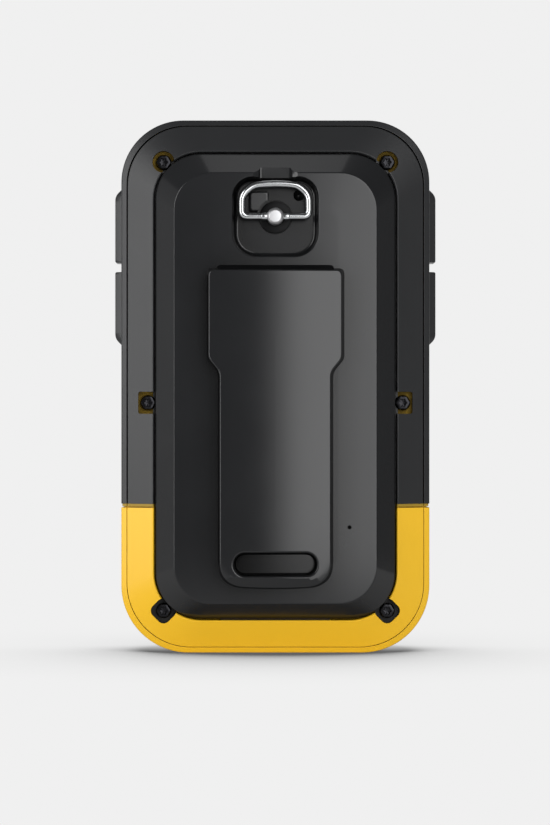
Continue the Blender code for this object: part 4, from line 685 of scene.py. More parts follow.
# Steps of the fingertip notch: half width and depth.
notch_steps = [(2.6, -5.8), (2.85, -5.86), (3.05, -6.2), (3.2, -6.42), (4.1, -6.88), (4.8, -7.24)]
combine(door, [slab("field_backing", (-9.55, 9.55), (-6.0, -2.2), (73.15, 91.6)),
               slab("hook", (-10.4, 10.4), (-1.0, -0.6), (4.9, 8.45))], "UNION")
stem_axis = (0.0, 0.0, STEM_Z)
dimple_profile = [[0.0, -2.4], [0.3, -2.5], [1.0, -3.3], [1.05, -3.7], [1.08, -4.4]]
groove_profile = [[2.9, -3.4], [3.24, -3.4], [3.24, -4.4], [2.9, -4.4]]
combine(door, [field_tool, skin("notch", stepped(notch_loop, notch_steps)),
               turned("dimple", dimple_profile, (4.45, 0.0, STEM_Z + 4.15)),
               turned("rotor_groove", groove_profile, stem_axis, steps=96, ring=True),
               turned("stem_hole", [[1.45, -9.0], [1.45, 0.0]], stem_axis),
               turned("seal_room", [[2.7, -3.1], [2.7, 0.0]], stem_axis),
               turned("vent", [[0.38, -4.0], [0.38, -8.0]], (VENT_X, 0.0, VENT_Z))], "DIFFERENCE")
stop_rows = np.array([[1.87, 83.65, 87.45, 0.6, 0.5, -3.0], [1.87, 83.65, 87.45, 0.6, 0.5, -5.2],
                      [1.8, 83.72, 87.38, 0.55, 0.45, -5.38], [1.62, 83.9, 87.2, 0.45, 0.35, -5.47],
                      [1.4, 84.1, 87.0, 0.35, 0.3, -5.5]]) * MM
stop_grid = loft_grid(stop_rows)
# The stop's face leans a little to one side.
stop_grid[2:, :, 1] += 0.03 * stop_grid[2:, :, 0]
stop = skin("stop", stop_grid + np.array([-3.11, 0.0, 0.0]) * MM)
combine(stop, [turned("rotor_room", [[3.5, -2.0], [3.5, -7.0]], stem_axis)], "DIFFERENCE")
combine(door, [stop], "UNION")
dress(door, "door", hard_black, ["battery_door"], even=True)


def crisp_border(piece, chosen):
    """Keep the shading of chosen faces to themselves: an edge with one chosen face of two becomes sharp."""
    mesh = piece.data
    loop_edge = np.empty(len(mesh.loops), int)
    mesh.loops.foreach_get("edge_index", loop_edge)
    corners = np.empty(len(mesh.polygons), int)
    mesh.polygons.foreach_get("loop_total", corners)
    weights = np.repeat(chosen.astype(float), corners)
    touching = np.bincount(loop_edge, weights=weights, minlength=len(mesh.edges))
    sharp = np.empty(len(mesh.edges), bool)
    mesh.edges.foreach_get("use_edge_sharp", sharp)
    mesh.edges.foreach_set("use_edge_sharp", sharp | (touching == 1.0))


def face_vectors(piece, kind):
    """The centers or the normals of all faces."""
    vectors = np.empty(3 * len(piece.data.polygons))
    piece.data.polygons.foreach_get(kind, vectors)
    return vectors.reshape(-1, 3)


# A face lies on the plateau when its middle is on the crowned plane and it looks straight back.
face_middles = face_vectors(door, "center")
plateau_y = PARTING_Y + PLATEAU_DEPTH * MM + face_middles[:, 0] ** 2 / (2.0 * DOOR_CROWN * MM)
faces_back = face_vectors(door, "normal")[:, 1] < -math.cos(math.radians(5.0))
crisp_border(door, faces_back & (np.abs(face_middles[:, 1] - plateau_y) < 0.02 * MM))

# %% [markdown]
# ## The mounting spine
#
# A rail that clips and mounts slide onto, fixed on the door by two pegs. Its back is crowned more than
# the door, it steps in below the shoulders, and a cross slot near the foot holds the clip. The outline
# is a softened polygon, sampled evenly so that the crown stays smooth right across.

# %% Spine
def evenly(loop, count):
    """Closed outline sampled at equal steps of its length."""
    closed = np.concatenate([loop, loop[:1]])
    length = np.concatenate([[0.0], np.cumsum(np.linalg.norm(np.diff(closed, axis=0), axis=1))])
    at = np.linspace(0.0, length[-1], count, endpoint=False)
    return np.stack([np.interp(at, length, closed[:, 0]), np.interp(at, length, closed[:, 1])], -1)


RAIL_LOW, RAIL_HIGH, RAIL_HALF, WIDE_HALF = 13.35, 72.45, 10.45, 12.55
SHOULDER_LOW, SHOULDER_HIGH = 53.35, 55.95
RAIL_CUTS = [4.6, 1.0, 0.7, 1.1]
RAIL_POINTS, BOW, BOW_HALF = 720, 0.4, 9.0


def plate_loop(inset):
    """Outline of the rail plate, drawn in by an inset: narrow below, wide above its shoulders, foot bowed.

    The bow lowers a point by BOW (1 - (x / BOW_HALF)^2), fading out above the foot.
    """
    right = np.array([[RAIL_HALF - inset, RAIL_LOW + inset],
                      [RAIL_HALF - inset, SHOULDER_LOW + 0.3 * inset],
                      [WIDE_HALF - inset, SHOULDER_HIGH + 0.3 * inset],
                      [WIDE_HALF - inset, RAIL_HIGH - inset]])
    corners = np.concatenate([right, right[::-1] * np.array([-1.0, 1.0])])
    softened = soften(corners, RAIL_CUTS + RAIL_CUTS[::-1], steps=12, measured=(0, 1))
    loop = evenly(softened, RAIL_POINTS)
    near_foot = np.clip((18.0 - loop[:, 1]) / 4.0, 0.0, 1.0)
    bow = near_foot * np.clip(1.0 - (loop[:, 0] / BOW_HALF) ** 2, 0.0, 1.0)
    return loop - np.stack([np.zeros(RAIL_POINTS), BOW * bow], -1)


RAIL_BACK = -10.8
# Steps of the plate: inset and depth, from the underside to the back.
plate_steps = [(0.15, -8.6), (0.0, -8.75), (0.0, -10.48), (0.03, -10.63), (0.09, -10.72), (0.18, -10.78),
               (0.3, RAIL_BACK)]
plate_grid = stepped(plate_loop, plate_steps)
face_fill = place(to_middle(plate_grid[-1][:, [0, 2]], np.linspace(0.0, 1.0, 16)[1:]), RAIL_BACK * MM)
plate_grid = crowned(np.concatenate([plate_grid, face_fill]), SPINE_CROWN, -8.5, -8.6, SPINE_APEX)
plate = skin("rail_plate", plate_grid)
SLOT_MOUTH = [7.55, 15.42, 19.25, 1.85, 1.85, -8.5]
# Steps of the slot's tool: growth of the mouth and depth, with a soft edge at the rail's back.
slot_steps = [(0.14, -7.15), (0.16, -8.5), (0.22, -10.3), (0.25, -10.5), (0.31, -10.63), (0.39, -10.71),
              (0.49, -10.765), (0.62, -10.79), (0.66, -10.86), (0.66, -13.0)]


def slot_tool():
    """Tool for the cross slot, crowned like the rail: right through the plate, with a soft mouth."""
    slot_grid = grown_grid(SLOT_MOUTH, slot_steps)
    return skin("cross_slot", crowned(slot_grid, SPINE_CROWN, -7.0, -7.1, SPINE_APEX))


def side_prism(name, corners, x_range):
    """Polygon of (depth, height) corners carried straight across from one x to another."""
    corners = np.asarray(corners, float)
    rows = [np.column_stack([np.full(len(corners), x), corners]) for x in x_range]
    return skin(name, np.stack(rows) * MM + np.array([0.0, PARTING_Y, 0.0]))


toe = side_prism("toe", [[RAIL_BACK, 15.0], [-14.0, 15.0], [-14.0, 11.0], [-8.49, 11.0]], (-20.0, 20.0))
combine(plate, [toe, slot_tool()], "DIFFERENCE")
# The base is a ring round the slot; a plug in its middle is the slot's floor and leaves a narrow dark gap.
base_rows = np.array([[10.32, 13.6, 73.5, 0.7, 5.0, -6.6], [10.32, 13.6, 73.5, 0.7, 5.0, -7.0],
                      [10.32, 13.6, 72.6, 0.7, 5.0, -8.5], [10.22, 13.7, 72.45, 0.6, 4.9, -8.6],
                      grown(SLOT_MOUTH, 0.3, -8.6), grown(SLOT_MOUTH, 0.3, -6.6)]) * MM
base_grid = loft_grid(base_rows)
# Above the shoulders the base widens with the plate.
base_grid[..., 0] *= 1.0 + 0.066 * np.clip((base_grid[..., 2] / MM - 57.0) / 2.0, 0.0, 1.0)
base = skin("rail_base", crowned(base_grid, SPINE_CROWN, -7.0, -8.45, SPINE_APEX), wrap=True)
plug_steps = [(-0.04, -6.6), (-0.04, -8.38), (-0.07, -8.45), (-0.13, -8.49), (-0.22, -8.5)]
plug_grid = grown_grid(SLOT_MOUTH, plug_steps)
plug_fill = place(to_middle(plug_grid[-1][:, [0, 2]], np.linspace(0.0, 1.0, 12)[1:]), plug_steps[-1][1] * MM)
plug_grid = crowned(np.concatenate([plug_grid, plug_fill]), PLUG_CROWN, -7.0, -7.5, SPINE_APEX)
plug = skin("slot_floor", plug_grid)
# The slot floor and the base take the darker rail black: painted shade.
dress(plug, "door", rail_black_painted_shade, ["mounting_spine"], even=True)
# A thin very dark pad under the rail follows its outline and stands out as a dark line: a painted shadow
# where the rail meets the door.
painted_shadow_pad_steps = [(-0.3, -6.7), (-0.42, -6.85), (-0.42, -7.02), (-0.36, -7.06), (0.6, -7.06)]
painted_shadow_pad = skin("rail_painted_shadow_pad", crowned(stepped(plate_loop, painted_shadow_pad_steps), DOOR_CROWN, DOOR_LIP, PLATEAU_DEPTH))
dress(painted_shadow_pad, "door", rotor_and_painted_shadow_black, ["mounting_spine"])
dress(base, "door", rail_black_painted_shade, ["mounting_spine"], even=True)
dress(plate, "door", hard_black, ["mounting_spine"], even=True)

# %% [markdown]
# ## The latch
#
# A steel stem turns in the latch field and carries a folding wire ring. The ring is a circle carried
# round a rounded outline; two swaged collars keep it centred on the stem.

# %% Ring, stem and rotor
def wire(path, radius, steps=24):
    """Tube round a closed path in (x, z): point = path + radius (cos a across the path, sin a along Y)."""
    along = np.roll(path, -1, 0) - np.roll(path, 1, 0)
    along /= np.linalg.norm(along, axis=1, keepdims=True)
    across = np.stack([along[:, 1], -along[:, 0]], -1)
    turn = np.linspace(0.0, 2.0 * math.pi, steps, endpoint=False)
    loops = path[:, None] + radius * np.cos(turn)[:, None] * across[:, None]
    grid = place(loops, 0.0)
    grid[..., 1] += radius * np.sin(turn)
    return grid


RING_DEPTH, RING_HALF, RING_RISE, WIRE_RADIUS = -6.7, 6.3, 5.65, 0.675
RING_BOW, RING_BOW_HALF = 0.5, 5.2
ring_path = rounded_loops(np.array([[RING_HALF, STEM_Z, STEM_Z + RING_RISE, 2.9, 1.1, 0.0]]) * MM)[0]
# The far side of the ring bows outwards in its middle.
rise = (ring_path[:, 1] - STEM_Z * MM) / (RING_RISE * MM)
bow = np.clip(1.0 - (ring_path[:, 0] / (RING_BOW_HALF * MM)) ** 2, 0.0, 1.0)
ring_path[:, 1] += RING_BOW * MM * rise * bow
ring_grid = wire(ring_path, WIRE_RADIUS * MM) + np.array([0.0, RING_DEPTH, 0.0]) * MM
ring = skin("wire_ring", ring_grid, wrap=True)
collar_profile = [[0.6, -0.66], [0.74, -0.6], [0.81, -0.46], [0.83, -0.2], [0.83, 0.2], [0.81, 0.46],
                  [0.74, 0.6], [0.6, 0.66]]
COLLAR_X = 2.05
for side in (-1, 1):
    join(ring, turned("collar", collar_profile, (side * COLLAR_X, RING_DEPTH, STEM_Z), "X", 40))
dress(ring, "ring", polished_steel, ["d_ring"], sharp=50.0)

# Turned profiles are rows of radius and depth.
stem_profile = [[0.0, -8.0], [1.0, -8.0], [1.08, -7.99], [1.15, -7.95], [1.47, -7.65], [1.55, -7.55],
                [1.6, -7.4], [1.6, -4.7], [1.3, -4.7], [1.3, -0.9], [0.0, -0.9]]
stem = turned("latch_pin", stem_profile, stem_axis, steps=64)
dress(stem, "latch", satin_steel, ["latch_stem"])
rotor_profile = [[1.62, -4.0], [1.62, -4.2], [1.72, -4.3], [2.85, -4.3], [2.98, -4.24], [3.03, -4.1],
                 [3.03, -4.0]]
rotor = turned("latch_rotor", rotor_profile, stem_axis, steps=72)
dress(rotor, "latch", rotor_and_painted_shadow_black, ["latch_stem"])

# %% [markdown]
# ## Screws and keys
#
# Six blackened screws with six-lobed sockets hold the case; four rubber keys stand out of its sides.
# The screw is turned, with the socket rows swung by a cosine; the key is its side view carried from
# back to front and drawn in at both ends.

# %% Case screws
# From the tip over the shank, the flange and the head into the socket.
screw_profile = [[0.0, 7.5], [0.5, 7.5], [0.7, 7.2], [0.7, -0.2], [1.4, -0.2], [1.46, -0.3], [1.46, -0.6],
                 [1.43, -0.7], [1.38, -0.8], [1.36, -0.9], [1.34, -1.1], [1.3, -1.4], [1.2, -1.54],
                 [1.05, -1.58], [0.76, -1.58], [0.7, -1.52], [0.62, -0.9], [0.0, -0.8]]
SEAT_HALF, SEAT_DEPTHS = 2.06, (-0.25, -0.42)
# Share of the radius by which each row of the profile swings in six lobes.
screw_lobes = [0.0] * 9 + [0.02, 0.04, 0.05, 0.05, 0.05, 0.12, 0.14, 0.14, 0.0]
for kind, (x, z) in SCREWS.items():
    for side, side_name in SIDES:
        screw = turned(f"lobe_screw_{kind}_{side_name}", screw_profile, (side * x, 0.0, z),
                       steps=72, lobes=screw_lobes)
        if kind == "bottom":
            seat = turned_square(f"screw_seat_{side_name}", SEAT_HALF, SEAT_DEPTHS, (side * x, 0.0, z))
            dress(seat, "case", matt_black, [])
        dress(screw, "case", black_steel, [f"case_screw_{kind}_{side_name}"])

# %% Side keys
KEY_FACE, KEY_ROOT = 30.75, 25.4


def key_loop(low, high, ramp_up, across, along):
    """Side view of a key, drawn in across at its face and along at its ends; one end is a ramp."""
    face, low, high = KEY_FACE - across, low + along, high - along
    ramp = KEY_FACE - CASE_HALF
    corners = np.array([[KEY_ROOT, low], [face, low], [face, high - ramp], [face - ramp, high],
                        [KEY_ROOT, high]])
    if not ramp_up:
        corners[:, 1] = (low + high) - corners[:, 1]
    return soften(corners, [0.0, 0.35, 0.9, 0.5, 0.0], steps=6, measured=(0, 1))


# Rows from back to front: drawn in at the face, drawn in at the ends, depth. The back slants like the rim.
key_steps = np.array([[1.9, 0.15, 3.56], [1.5, 0.0, 3.66], [0.16, 0.0, 4.3], [0.04, 0.0, 4.42],
                      [0.0, 0.0, 4.6], [0.0, 0.0, 9.75], [0.07, 0.07, 10.02], [0.25, 0.25, 10.22],
                      [0.55, 0.55, 10.3]])
for side, side_name in SIDES:
    for level, (low, high) in KEY_SPANS.items():
        loops = np.stack([key_loop(low, high, level == "upper", across, along)
                          for across, along, _ in key_steps])
        grid = place(loops * np.array([side, 1.0]) * MM, key_steps[:, 2] * MM)
        key = skin(f"side_key_{level}_{side_name}", grid)
        join(key, slab("flange", sorted((side * 25.0, side * 25.8)), (2.9, 11.1), (low, high)))
        dress(key, f"{level}_key_{side_name}", key_black, [f"key_{level}_{side_name}"],
              even=True)

# %% [markdown]
# ## The display side
#
# On the other side a clear lens lies in a sunk frame, with a dark printed border behind it and the
# display panel below. A round thumb stick stands beside it. The lens is a real clear solid, so the
# panel shows through it.

# %% Lens, printed border and thumb stick
def clear_finish(name, colour, roughness):
    """Clear plastic: plain transmission, with faint smears in the roughness."""
    material, tree, shader = new_material(name)
    shader.inputs["Base Color"].default_value = colour
    shader.inputs["Transmission Weight"].default_value = 1.0
    shader.inputs["IOR"].default_value = 1.49
    smear = place_group(tree, mould_grain, Fine=1.0 / (0.8 * MM), Broad=1.0 / (9.0 * MM))
    rough = add_node(tree, "ShaderNodeMapRange", {
        "Value": smear.outputs["Drift"], "From Min": 0.35, "From Max": 0.75,
        "To Min": roughness, "To Max": 3.0 * roughness})
    tree.links.new(rough.outputs["Result"], shader.inputs["Roughness"])
    return material


clear_lens = clear_finish("clear_lens", (0.93, 0.95, 0.95, 1.0), 0.02)
LENS_BACK, LENS_FRONT = 17.8, 19.2
BORDER_BACK, BORDER_FRONT, BORDER_INSET, SKIRT_WALL = 17.6, 17.72, 2.9, 0.35


def lens_middle(depth):
    """Station well inside the lens, where a face of it is closed."""
    return lens_row(-9.0, depth)[:3] + [1.5, 1.5, depth]


lens_rows = [lens_middle(LENS_BACK), lens_row(0.0, LENS_BACK),
             lens_row(0.0, LENS_FRONT), lens_middle(LENS_FRONT)]
lens = skin("lens", loft_grid(soften(lens_rows, [0.0, 0.15, 0.35, 0.0]) * MM))
dress(lens, "case", clear_lens, ["display_lens"], even=True)
# The border turns down at the window's edge as a skirt and hides the yellow wall.
skirt_end = WALL_INSIDE + 0.05
border_rows = np.array([lens_row(-0.2, BORDER_BACK), lens_row(-0.2, BORDER_FRONT),
                        lens_row(-BORDER_INSET, BORDER_FRONT), lens_row(-BORDER_INSET, skirt_end),
                        lens_row(SKIRT_WALL - BORDER_INSET, skirt_end),
                        lens_row(SKIRT_WALL - BORDER_INSET, BORDER_BACK)])
border = skin("lens_border", loft_grid(border_rows * MM), wrap=True)
dress(border, "case", hard_black, [])
# From the foot flange up the shaft to the dished cap.
stick_profile = [[0.0, 14.8], [2.8, 14.8], [2.9, 14.9], [2.9, 15.2], [2.8, 15.3], [1.6, 15.3], [1.6, 20.0],
                 [3.1, 20.0], [3.4, 20.1], [3.5, 20.35], [3.45, 20.8], [3.2, 21.1], [2.75, 21.2],
                 [2.3, 21.12], [1.5, 20.9], [0.7, 20.8], [0.0, 20.78]]
stick = turned("thumb_cap", stick_profile, (STICK_X, 0.0, STICK_Z), steps=96)
dress(stick, "stick", key_black, ["thumb_stick"])

# %% [markdown]
# ## Under the door
#
# With the door open one looks into the battery tray: a moulded tub with two cells, spring plates at
# their ends, a shelf with the latch keeper and a rubber seal all round. The tub is cut from lofted
# blocks, the cells are turned.

# %% Tray and seal
def block(name, half_width, low, high, radius, depths, edge=0.3):
    """Rounded block between two depths with softened ends."""
    back, front = depths
    inner_radius = max(radius - 3.0, 0.3)
    outside = [half_width, low, high, radius, radius, back]
    inside = [half_width - 3.0, low + 3.0, high - 3.0, inner_radius, inner_radius, back]
    rows = [inside, outside, at_depth(outside, front), at_depth(inside, front)]
    return skin(name, loft_grid(soften(rows, [0.0, edge, edge, 0.0]) * MM))


tray = block("cell_tray", 20.4, 9.25, 92.15, 6.0, (2.0, 3.0), 0.2)
keeper_posts = [slab("post", sorted((side * 6.3, side * 8.7)), (-0.8, 2.7), (78.45, 90.35))
                for side in (-1, 1)]
combine(tray, [block("tub", 17.4, 10.98, 90.43, 2.0, (2.5, 10.9))] + keeper_posts, "UNION")
bay = skin("bay", loft_grid(np.array([[15.2, 12.2, 64.3, 1.2, 1.2, 9.9], [15.4, 12.0, 64.5, 1.2, 1.2, 9.7],
                                      [15.4, 12.0, 64.5, 1.2, 1.2, 0.0]]) * MM))
combine(tray, [bay, slab("antenna_bay", (-15.4, 15.4), (3.2, 12.9), (66.5, 88.43))], "DIFFERENCE")
ribs = [slab("cradle", (-0.25, 0.25), (5.2, 9.95), (z - 0.6, z + 0.6)) for z in (22.0, 38.0, 54.0)]
combine(tray, ribs, "UNION")
dress(tray, "case", matt_black, ["battery_tray"])


SEAL_HALF, SEAL_LOW, SEAL_HIGH, SEAL_CORNER = 23.0, 7.55, 95.05, 9.0


def seal_row(inset, depth):
    """Station of the door seal at an inset from the opening; its low side lies higher, clear of the hook."""
    radius = SEAL_CORNER - inset
    return [SEAL_HALF - inset, SEAL_LOW + inset, SEAL_HIGH - inset, radius, radius, depth]


seal_rows = [seal_row(1.2, -0.2), seal_row(1.2, 0.2), seal_row(2.5, 0.2), seal_row(2.5, -0.2)]
door_seal = skin("door_seal", loft_grid(soften(seal_rows, [0.19, 0.05, 0.05, 0.19]) * MM), wrap=True)
dress(door_seal, "case", seal_rubber, ["door_gasket"])

# %% Cells and contacts
wrap_dark = moulded("cell_wrap_graphite", (0.028, 0.030, 0.034), 0.28, 0.5, 0.05, drift=0.08)
wrap_band = moulded("cell_wrap_copper", (0.42, 0.17, 0.055), 0.30, 0.5, 0.05, drift=0.08, metallic=0.6)
CELL_LENGTH, BAND_START = 50.5, 38.0
CELL_X, CELL_DEPTH, CELL_FOOT = 7.6, 2.35, 13.0


def up_cell(profile, turned_over):
    """Profile of radius and height up a cell, turned end for end where the cell stands the other way up."""
    return [[radius, CELL_LENGTH - height if turned_over else height] for radius, height in profile]


cell_parts = {
    "body": (wrap_dark, [[6.4, 0.12], [6.9, 0.1], [7.15, 0.25], [7.25, 0.5], [7.25, BAND_START],
                         [7.0, BAND_START], [6.4, BAND_START - 0.5]]),
    "band": (wrap_band, [[6.4, BAND_START - 0.3], [7.0, BAND_START], [7.25, BAND_START], [7.25, 49.0],
                         [7.12, 49.3], [6.85, 49.45], [6.0, 49.4]]),
    "ends": (nickel, [[0.0, 0.05], [3.0, 0.05], [3.2, 0.2], [6.5, 0.22], [6.5, 49.3], [5.0, 49.42],
                      [3.0, 49.45], [2.75, 49.6], [2.7, 50.3], [2.5, CELL_LENGTH], [0.0, CELL_LENGTH]])}
for side, side_name in SIDES:
    for part_name, (finish, profile) in cell_parts.items():
        cell_part = turned(f"cell_{part_name}_{side_name}", up_cell(profile, turned_over=side > 0),
                           (side * CELL_X, CELL_DEPTH, CELL_FOOT), "Z", 96)
        dress(cell_part, "case", finish, [f"cell_{side_name}"])


PLATE_THICKNESS = 0.4


def spring_plate(name, left, right, low, buttons, rise):
    """Level plate with rounded corners and a raised round button under each cell end."""
    half_width, heights = (right - left) / 2.0, (0.0, 0.05, 0.35, PLATE_THICKNESS)
    rows = np.array([[half_width, -5.5, 5.5, 1.2, 1.2, height] for height in heights])
    rows[[0, 3], 0] -= 0.05
    flat = loft_grid(rows * MM)
    grid = np.stack([flat[..., 0] + (left + right) / 2.0 * MM, flat[..., 2] + PARTING_Y + CELL_DEPTH * MM,
                     flat[..., 1] - PARTING_Y + low * MM], -1)
    plate_piece = skin(name, grid)
    dome = np.array([[0.0, 0.22], [0.8, 0.2], [1.4, 0.12], [1.8, 0.0], [1.8, -0.1]]) * np.array([1.0, rise])
    for x in buttons:
        foot = low + (PLATE_THICKNESS if rise > 0 else 0.0)
        join(plate_piece, turned("button", dome, (x, CELL_DEPTH, foot), "Z", 48))
    return plate_piece


# Each plate: left and right end, height, its buttons and which way they rise.
spring_plates = {"contact_left": (-14.2, -1.2, 12.3, [-CELL_X], 1.0),
                 "contact_right": (1.2, 14.2, 12.3, [CELL_X], 1.0),
                 "contact_bridge": (-14.2, 14.2, 63.8, [-CELL_X, CELL_X], -1.0)}
for name, shape in spring_plates.items():
    dress(spring_plate(f"spring_{name}", *shape), "case", nickel, [name])

# %% [markdown]
# ## Pieces that keep their plain shape
#
# Plates, seals and parts on the board are pressed, cut or bought in, and their plain shapes are right
# as they are. Each gets a finish of its own kind.

# %% Finishes for the remaining nodes
board_green = moulded("green_board", (0.012, 0.085, 0.035), 0.34, 0.9, 0.10, drift=0.35, broad_mm=3.0)
ceramic = moulded("antenna_ceramic", (0.48, 0.40, 0.30), 0.55, 0.3, 0.15, drift=0.08)


def display_finish(name, colour, gap_colour, pitch_mm):
    """Dark display: square cells at a pitch with dark gaps, from bricks laid without offset on (x, z)."""
    material, tree, shader = new_material(name)
    shader.inputs["Roughness"].default_value = 0.22
    pitch = pitch_mm * MM
    next_colour = tuple(0.94 * value for value in colour[:3]) + (1.0,)
    place_at = add_node(tree, "ShaderNodeSeparateXYZ", {
        "Vector": add_node(tree, "ShaderNodeTexCoord").outputs["Object"]})
    flat_place = add_node(tree, "ShaderNodeCombineXYZ", {
        "X": place_at.outputs["X"], "Y": place_at.outputs["Z"]})
    cells = add_node(tree, "ShaderNodeTexBrick", {
        "Vector": flat_place.outputs["Vector"], "Scale": 1.0, "Mortar Size": 0.1 * pitch,
        "Brick Width": pitch, "Row Height": pitch, "Color1": colour, "Color2": next_colour,
        "Mortar": gap_colour}, offset=0.0)
    tree.links.new(cells.outputs["Color"], shader.inputs["Base Color"])
    return material


panel_glass = display_finish("display_panel", (0.120, 0.132, 0.108, 1.0), (0.070, 0.078, 0.064, 1.0), 0.22)
diffuser_white = moulded("diffuser_white", (0.70, 0.71, 0.68), 0.50, 0.5, 0.05, drift=0.03)
amber_strip = moulded("amber_flex", (0.46, 0.20, 0.035), 0.32, 0.6, 0.05, drift=0.12)
dark_membrane = moulded("dark_membrane", (0.012, 0.012, 0.013), 0.80, 0.15, 0.30, drift=0.05)
plain_finishes = {
    plate_steel: ["latch_keeper", "latch_tongue"], black_steel: ["tongue_screw"],
    seal_rubber: ["latch_seal", "case_gasket", "lens_gasket", "key_membrane_left", "key_membrane_right"],
    dark_membrane: ["vent_membrane"], board_green: ["main_board"], ceramic: ["gnss_antenna"],
    nickel: ["shield_can"] + [f"key_dome_{level}_{side}"
                              for level in KEY_SPANS for _, side in SIDES],
    matt_black: ["buzzer", "stick_switch"], panel_glass: ["lcd_panel"], diffuser_white: ["lcd_backlight"],
    amber_strip: ["key_strip_left", "key_strip_right"]}
for finish, names in plain_finishes.items():
    for name in names:
        nodes[name].data.materials.clear()
        nodes[name].data.materials.append(finish)
print("plain nodes dressed:", sum(len(names) for names in plain_finishes.values()))

# %% [markdown]
# ## Floor, background and light
#
# The photograph shows pale grey all round. Its highlights fit one soft box just right of the camera, one
# on the left and a small one overhead; two weak boxes at the sides fill in. Dark plastic shows mostly
# what it mirrors, so the place and size of each box decide how a slope looks. A box is given by the
# angle at which the part sees it and by its radiance; its power follows from both.

# %% Background and floor
PALE, STUDIO_DARK, STUDIO_FILL = 0.871, 0.07, 0.30
SHADOW_REACH, SHADOW_POWER, SHADOW_FULL, SHADOW_TONE = 60.0 * MM, 1.7, 0.45, 0.12
FLOOR_RADIUS, FLOOR_POINTS = 0.22, 96


def seen_by_eye_or_mirror(tree):
    """Two Light Path masks: camera rays alone, and rays from the camera, a reflection or through glass."""
    light_path = add_node(tree, "ShaderNodeLightPath")
    both = reckon(tree, "MAXIMUM", light_path.outputs["Is Camera Ray"], light_path.outputs["Is Glossy Ray"])
    every = reckon(tree, "MAXIMUM", both, light_path.outputs["Is Transmission Ray"])
    return light_path.outputs["Is Camera Ray"], every


world = bpy.data.worlds.new("studio")
bpy.context.scene.world = world
world.use_nodes = True
sky = world.node_tree
sky.nodes.clear()
camera_ray, seen_ray = seen_by_eye_or_mirror(sky)
direction = add_node(sky, "ShaderNodeTexCoord").outputs["Generated"]
split = add_node(sky, "ShaderNodeSeparateXYZ", {"Vector": direction})
# Behind the part the studio is as pale as the picture's background; towards the camera it is dark.
depth_fade = add_node(sky, "ShaderNodeMapRange", {
    "Value": split.outputs["Y"], "From Min": -0.05, "From Max": 0.75,
    "To Min": STUDIO_DARK, "To Max": PALE})
mirrored = add_node(sky, "ShaderNodeMix", {
    "Factor": camera_ray, "A": depth_fade.outputs["Result"], "B": PALE})
level = add_node(sky, "ShaderNodeMix", {
    "Factor": seen_ray, "A": STUDIO_FILL, "B": mirrored.outputs["Result"]})
background = add_node(sky, "ShaderNodeBackground", {
    "Color": (1.0, 1.0, 1.0, 1.0), "Strength": level.outputs["Result"]})
add_node(sky, "ShaderNodeOutputWorld", {"Surface": background.outputs["Background"]})

floor_turn = np.linspace(0.0, 2.0 * math.pi, FLOOR_POINTS, endpoint=False)
floor_mesh = bpy.data.meshes.new("floor")
floor_points = FLOOR_RADIUS * np.stack([np.cos(floor_turn), np.sin(floor_turn), np.zeros(FLOOR_POINTS)], -1)
floor_mesh.from_pydata(floor_points.tolist(), [], [list(range(FLOOR_POINTS))])
floor = bpy.data.objects.new("floor", floor_mesh)
bpy.context.scene.collection.objects.link(floor)
paper, paper_tree, paper_shader = new_material("pale_paper")
paper_shader.inputs["Base Color"].default_value = (0.60, 0.60, 0.60, 1.0)
paper_shader.inputs["Roughness"].default_value = 0.9
paper_shader.inputs["Specular IOR Level"].default_value = 0.0
_, paper_seen = seen_by_eye_or_mirror(paper_tree)
# For camera and mirror rays the floor glows at the pale tone, with the part's shadow painted in from ambient
# occlusion.
close_by = add_node(paper_tree, "ShaderNodeAmbientOcclusion", {"Distance": SHADOW_REACH}, samples=16)
hidden = reckon(paper_tree, "SUBTRACT", 1.0, close_by.outputs["AO"])
steep = reckon(paper_tree, "POWER", hidden, SHADOW_POWER)
shade = add_node(paper_tree, "ShaderNodeMapRange", {
    "Value": steep, "From Max": SHADOW_FULL, "To Min": PALE, "To Max": SHADOW_TONE})
# Beside the part's corners and towards the far side, the painted shadow fades back to the pale tone.
floor_place = add_node(paper_tree, "ShaderNodeSeparateXYZ", {
    "Vector": add_node(paper_tree, "ShaderNodeTexCoord").outputs["Object"]})
aside = reckon(paper_tree, "ABSOLUTE", floor_place.outputs["X"])
beside = add_node(paper_tree, "ShaderNodeMapRange", {
    "Value": aside, "From Min": 0.017, "From Max": 0.022}, interpolation_type="SMOOTHSTEP")
behind = add_node(paper_tree, "ShaderNodeMapRange", {
    "Value": floor_place.outputs["Y"], "From Min": -0.005, "From Max": 0.013, "To Max": 0.56},
    interpolation_type="SMOOTHSTEP")
lifted = reckon(paper_tree, "MULTIPLY", beside.outputs["Result"], behind.outputs["Result"])
tone = add_node(paper_tree, "ShaderNodeMix", {
    "Factor": lifted, "A": shade.outputs["Result"], "B": PALE})
glow = add_node(paper_tree, "ShaderNodeEmission", {
    "Color": (1.0, 1.0, 1.0, 1.0), "Strength": tone.outputs["Result"]})
blend = add_node(paper_tree, "ShaderNodeMixShader", {
    "Fac": paper_seen, 1: paper_shader.outputs["BSDF"], 2: glow.outputs["Emission"]})
paper_tree.links.new(blend.outputs["Shader"], paper_tree.nodes["Material Output"].inputs["Surface"])
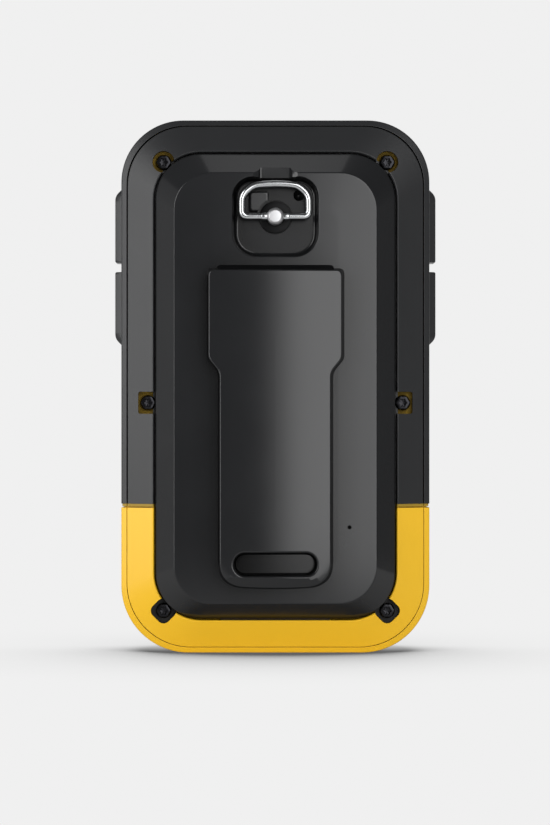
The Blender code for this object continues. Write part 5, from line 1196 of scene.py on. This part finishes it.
floor_mesh.materials.append(paper)
print("floor radius", FLOOR_RADIUS, "m")

# %% Soft boxes
STAGE_MIDDLE = np.array([0.0, -0.01, 0.05])


def soft_box(name, azimuth, elevation, distance, spread, radiance, soft_edge=0.0):
    """Area lamp at angles from the camera's axis (right, up), facing the part.

    Its sides are twice the distance times the tangent of half the spread; power is pi times area times
    radiance. A soft edge lets the lamp fade in over that share of its width, from one side.
    """
    right, up = math.radians(azimuth), math.radians(elevation)
    offset = np.array([math.sin(right) * math.cos(up), -math.cos(right) * math.cos(up), math.sin(up)])
    size = 2.0 * distance * np.tan(np.radians(np.asarray(spread) / 2.0))
    data = bpy.data.lights.new(name, "AREA")
    data.shape = "RECTANGLE"
    data.size, data.size_y = size
    data.energy = math.pi * size[0] * size[1] * radiance
    if soft_edge > 0.0:
        data.use_nodes = True
        glow_nodes = data.node_tree
        across = add_node(glow_nodes, "ShaderNodeSeparateXYZ", {
            "Vector": add_node(glow_nodes, "ShaderNodeTexCoord").outputs["UV"]})
        fade = add_node(glow_nodes, "ShaderNodeMapRange", {
            "Value": across.outputs["X"], "From Max": soft_edge}, interpolation_type="SMOOTHSTEP")
        glow_nodes.links.new(fade.outputs["Result"], glow_nodes.nodes["Emission"].inputs["Strength"])
    lamp = bpy.data.objects.new(name, data)
    lamp.location = STAGE_MIDDLE + distance * offset
    lamp.rotation_euler = (math.pi / 2.0 - up, 0.0, right)
    bpy.context.scene.collection.objects.link(lamp)
    print(name, "power", round(data.energy, 2), "W")
    return lamp


soft_box("key_box", 16.0, 9.0, 1.2, (34.0, 46.0), 5.2, soft_edge=0.28)
soft_box("left_box", -49.0, 8.0, 1.2, (24.0, 50.0), 5.8)
soft_box("left_fill", -103.0, 5.0, 1.2, (40.0, 60.0), 0.42)
soft_box("right_fill", 58.0, 5.0, 1.2, (26.0, 50.0), 0.22)
soft_box("over_box", 180.0, 77.0, 1.0, (9.0, 20.0), 0.75)
bpy.context.scene.view_settings.view_transform = "Standard"
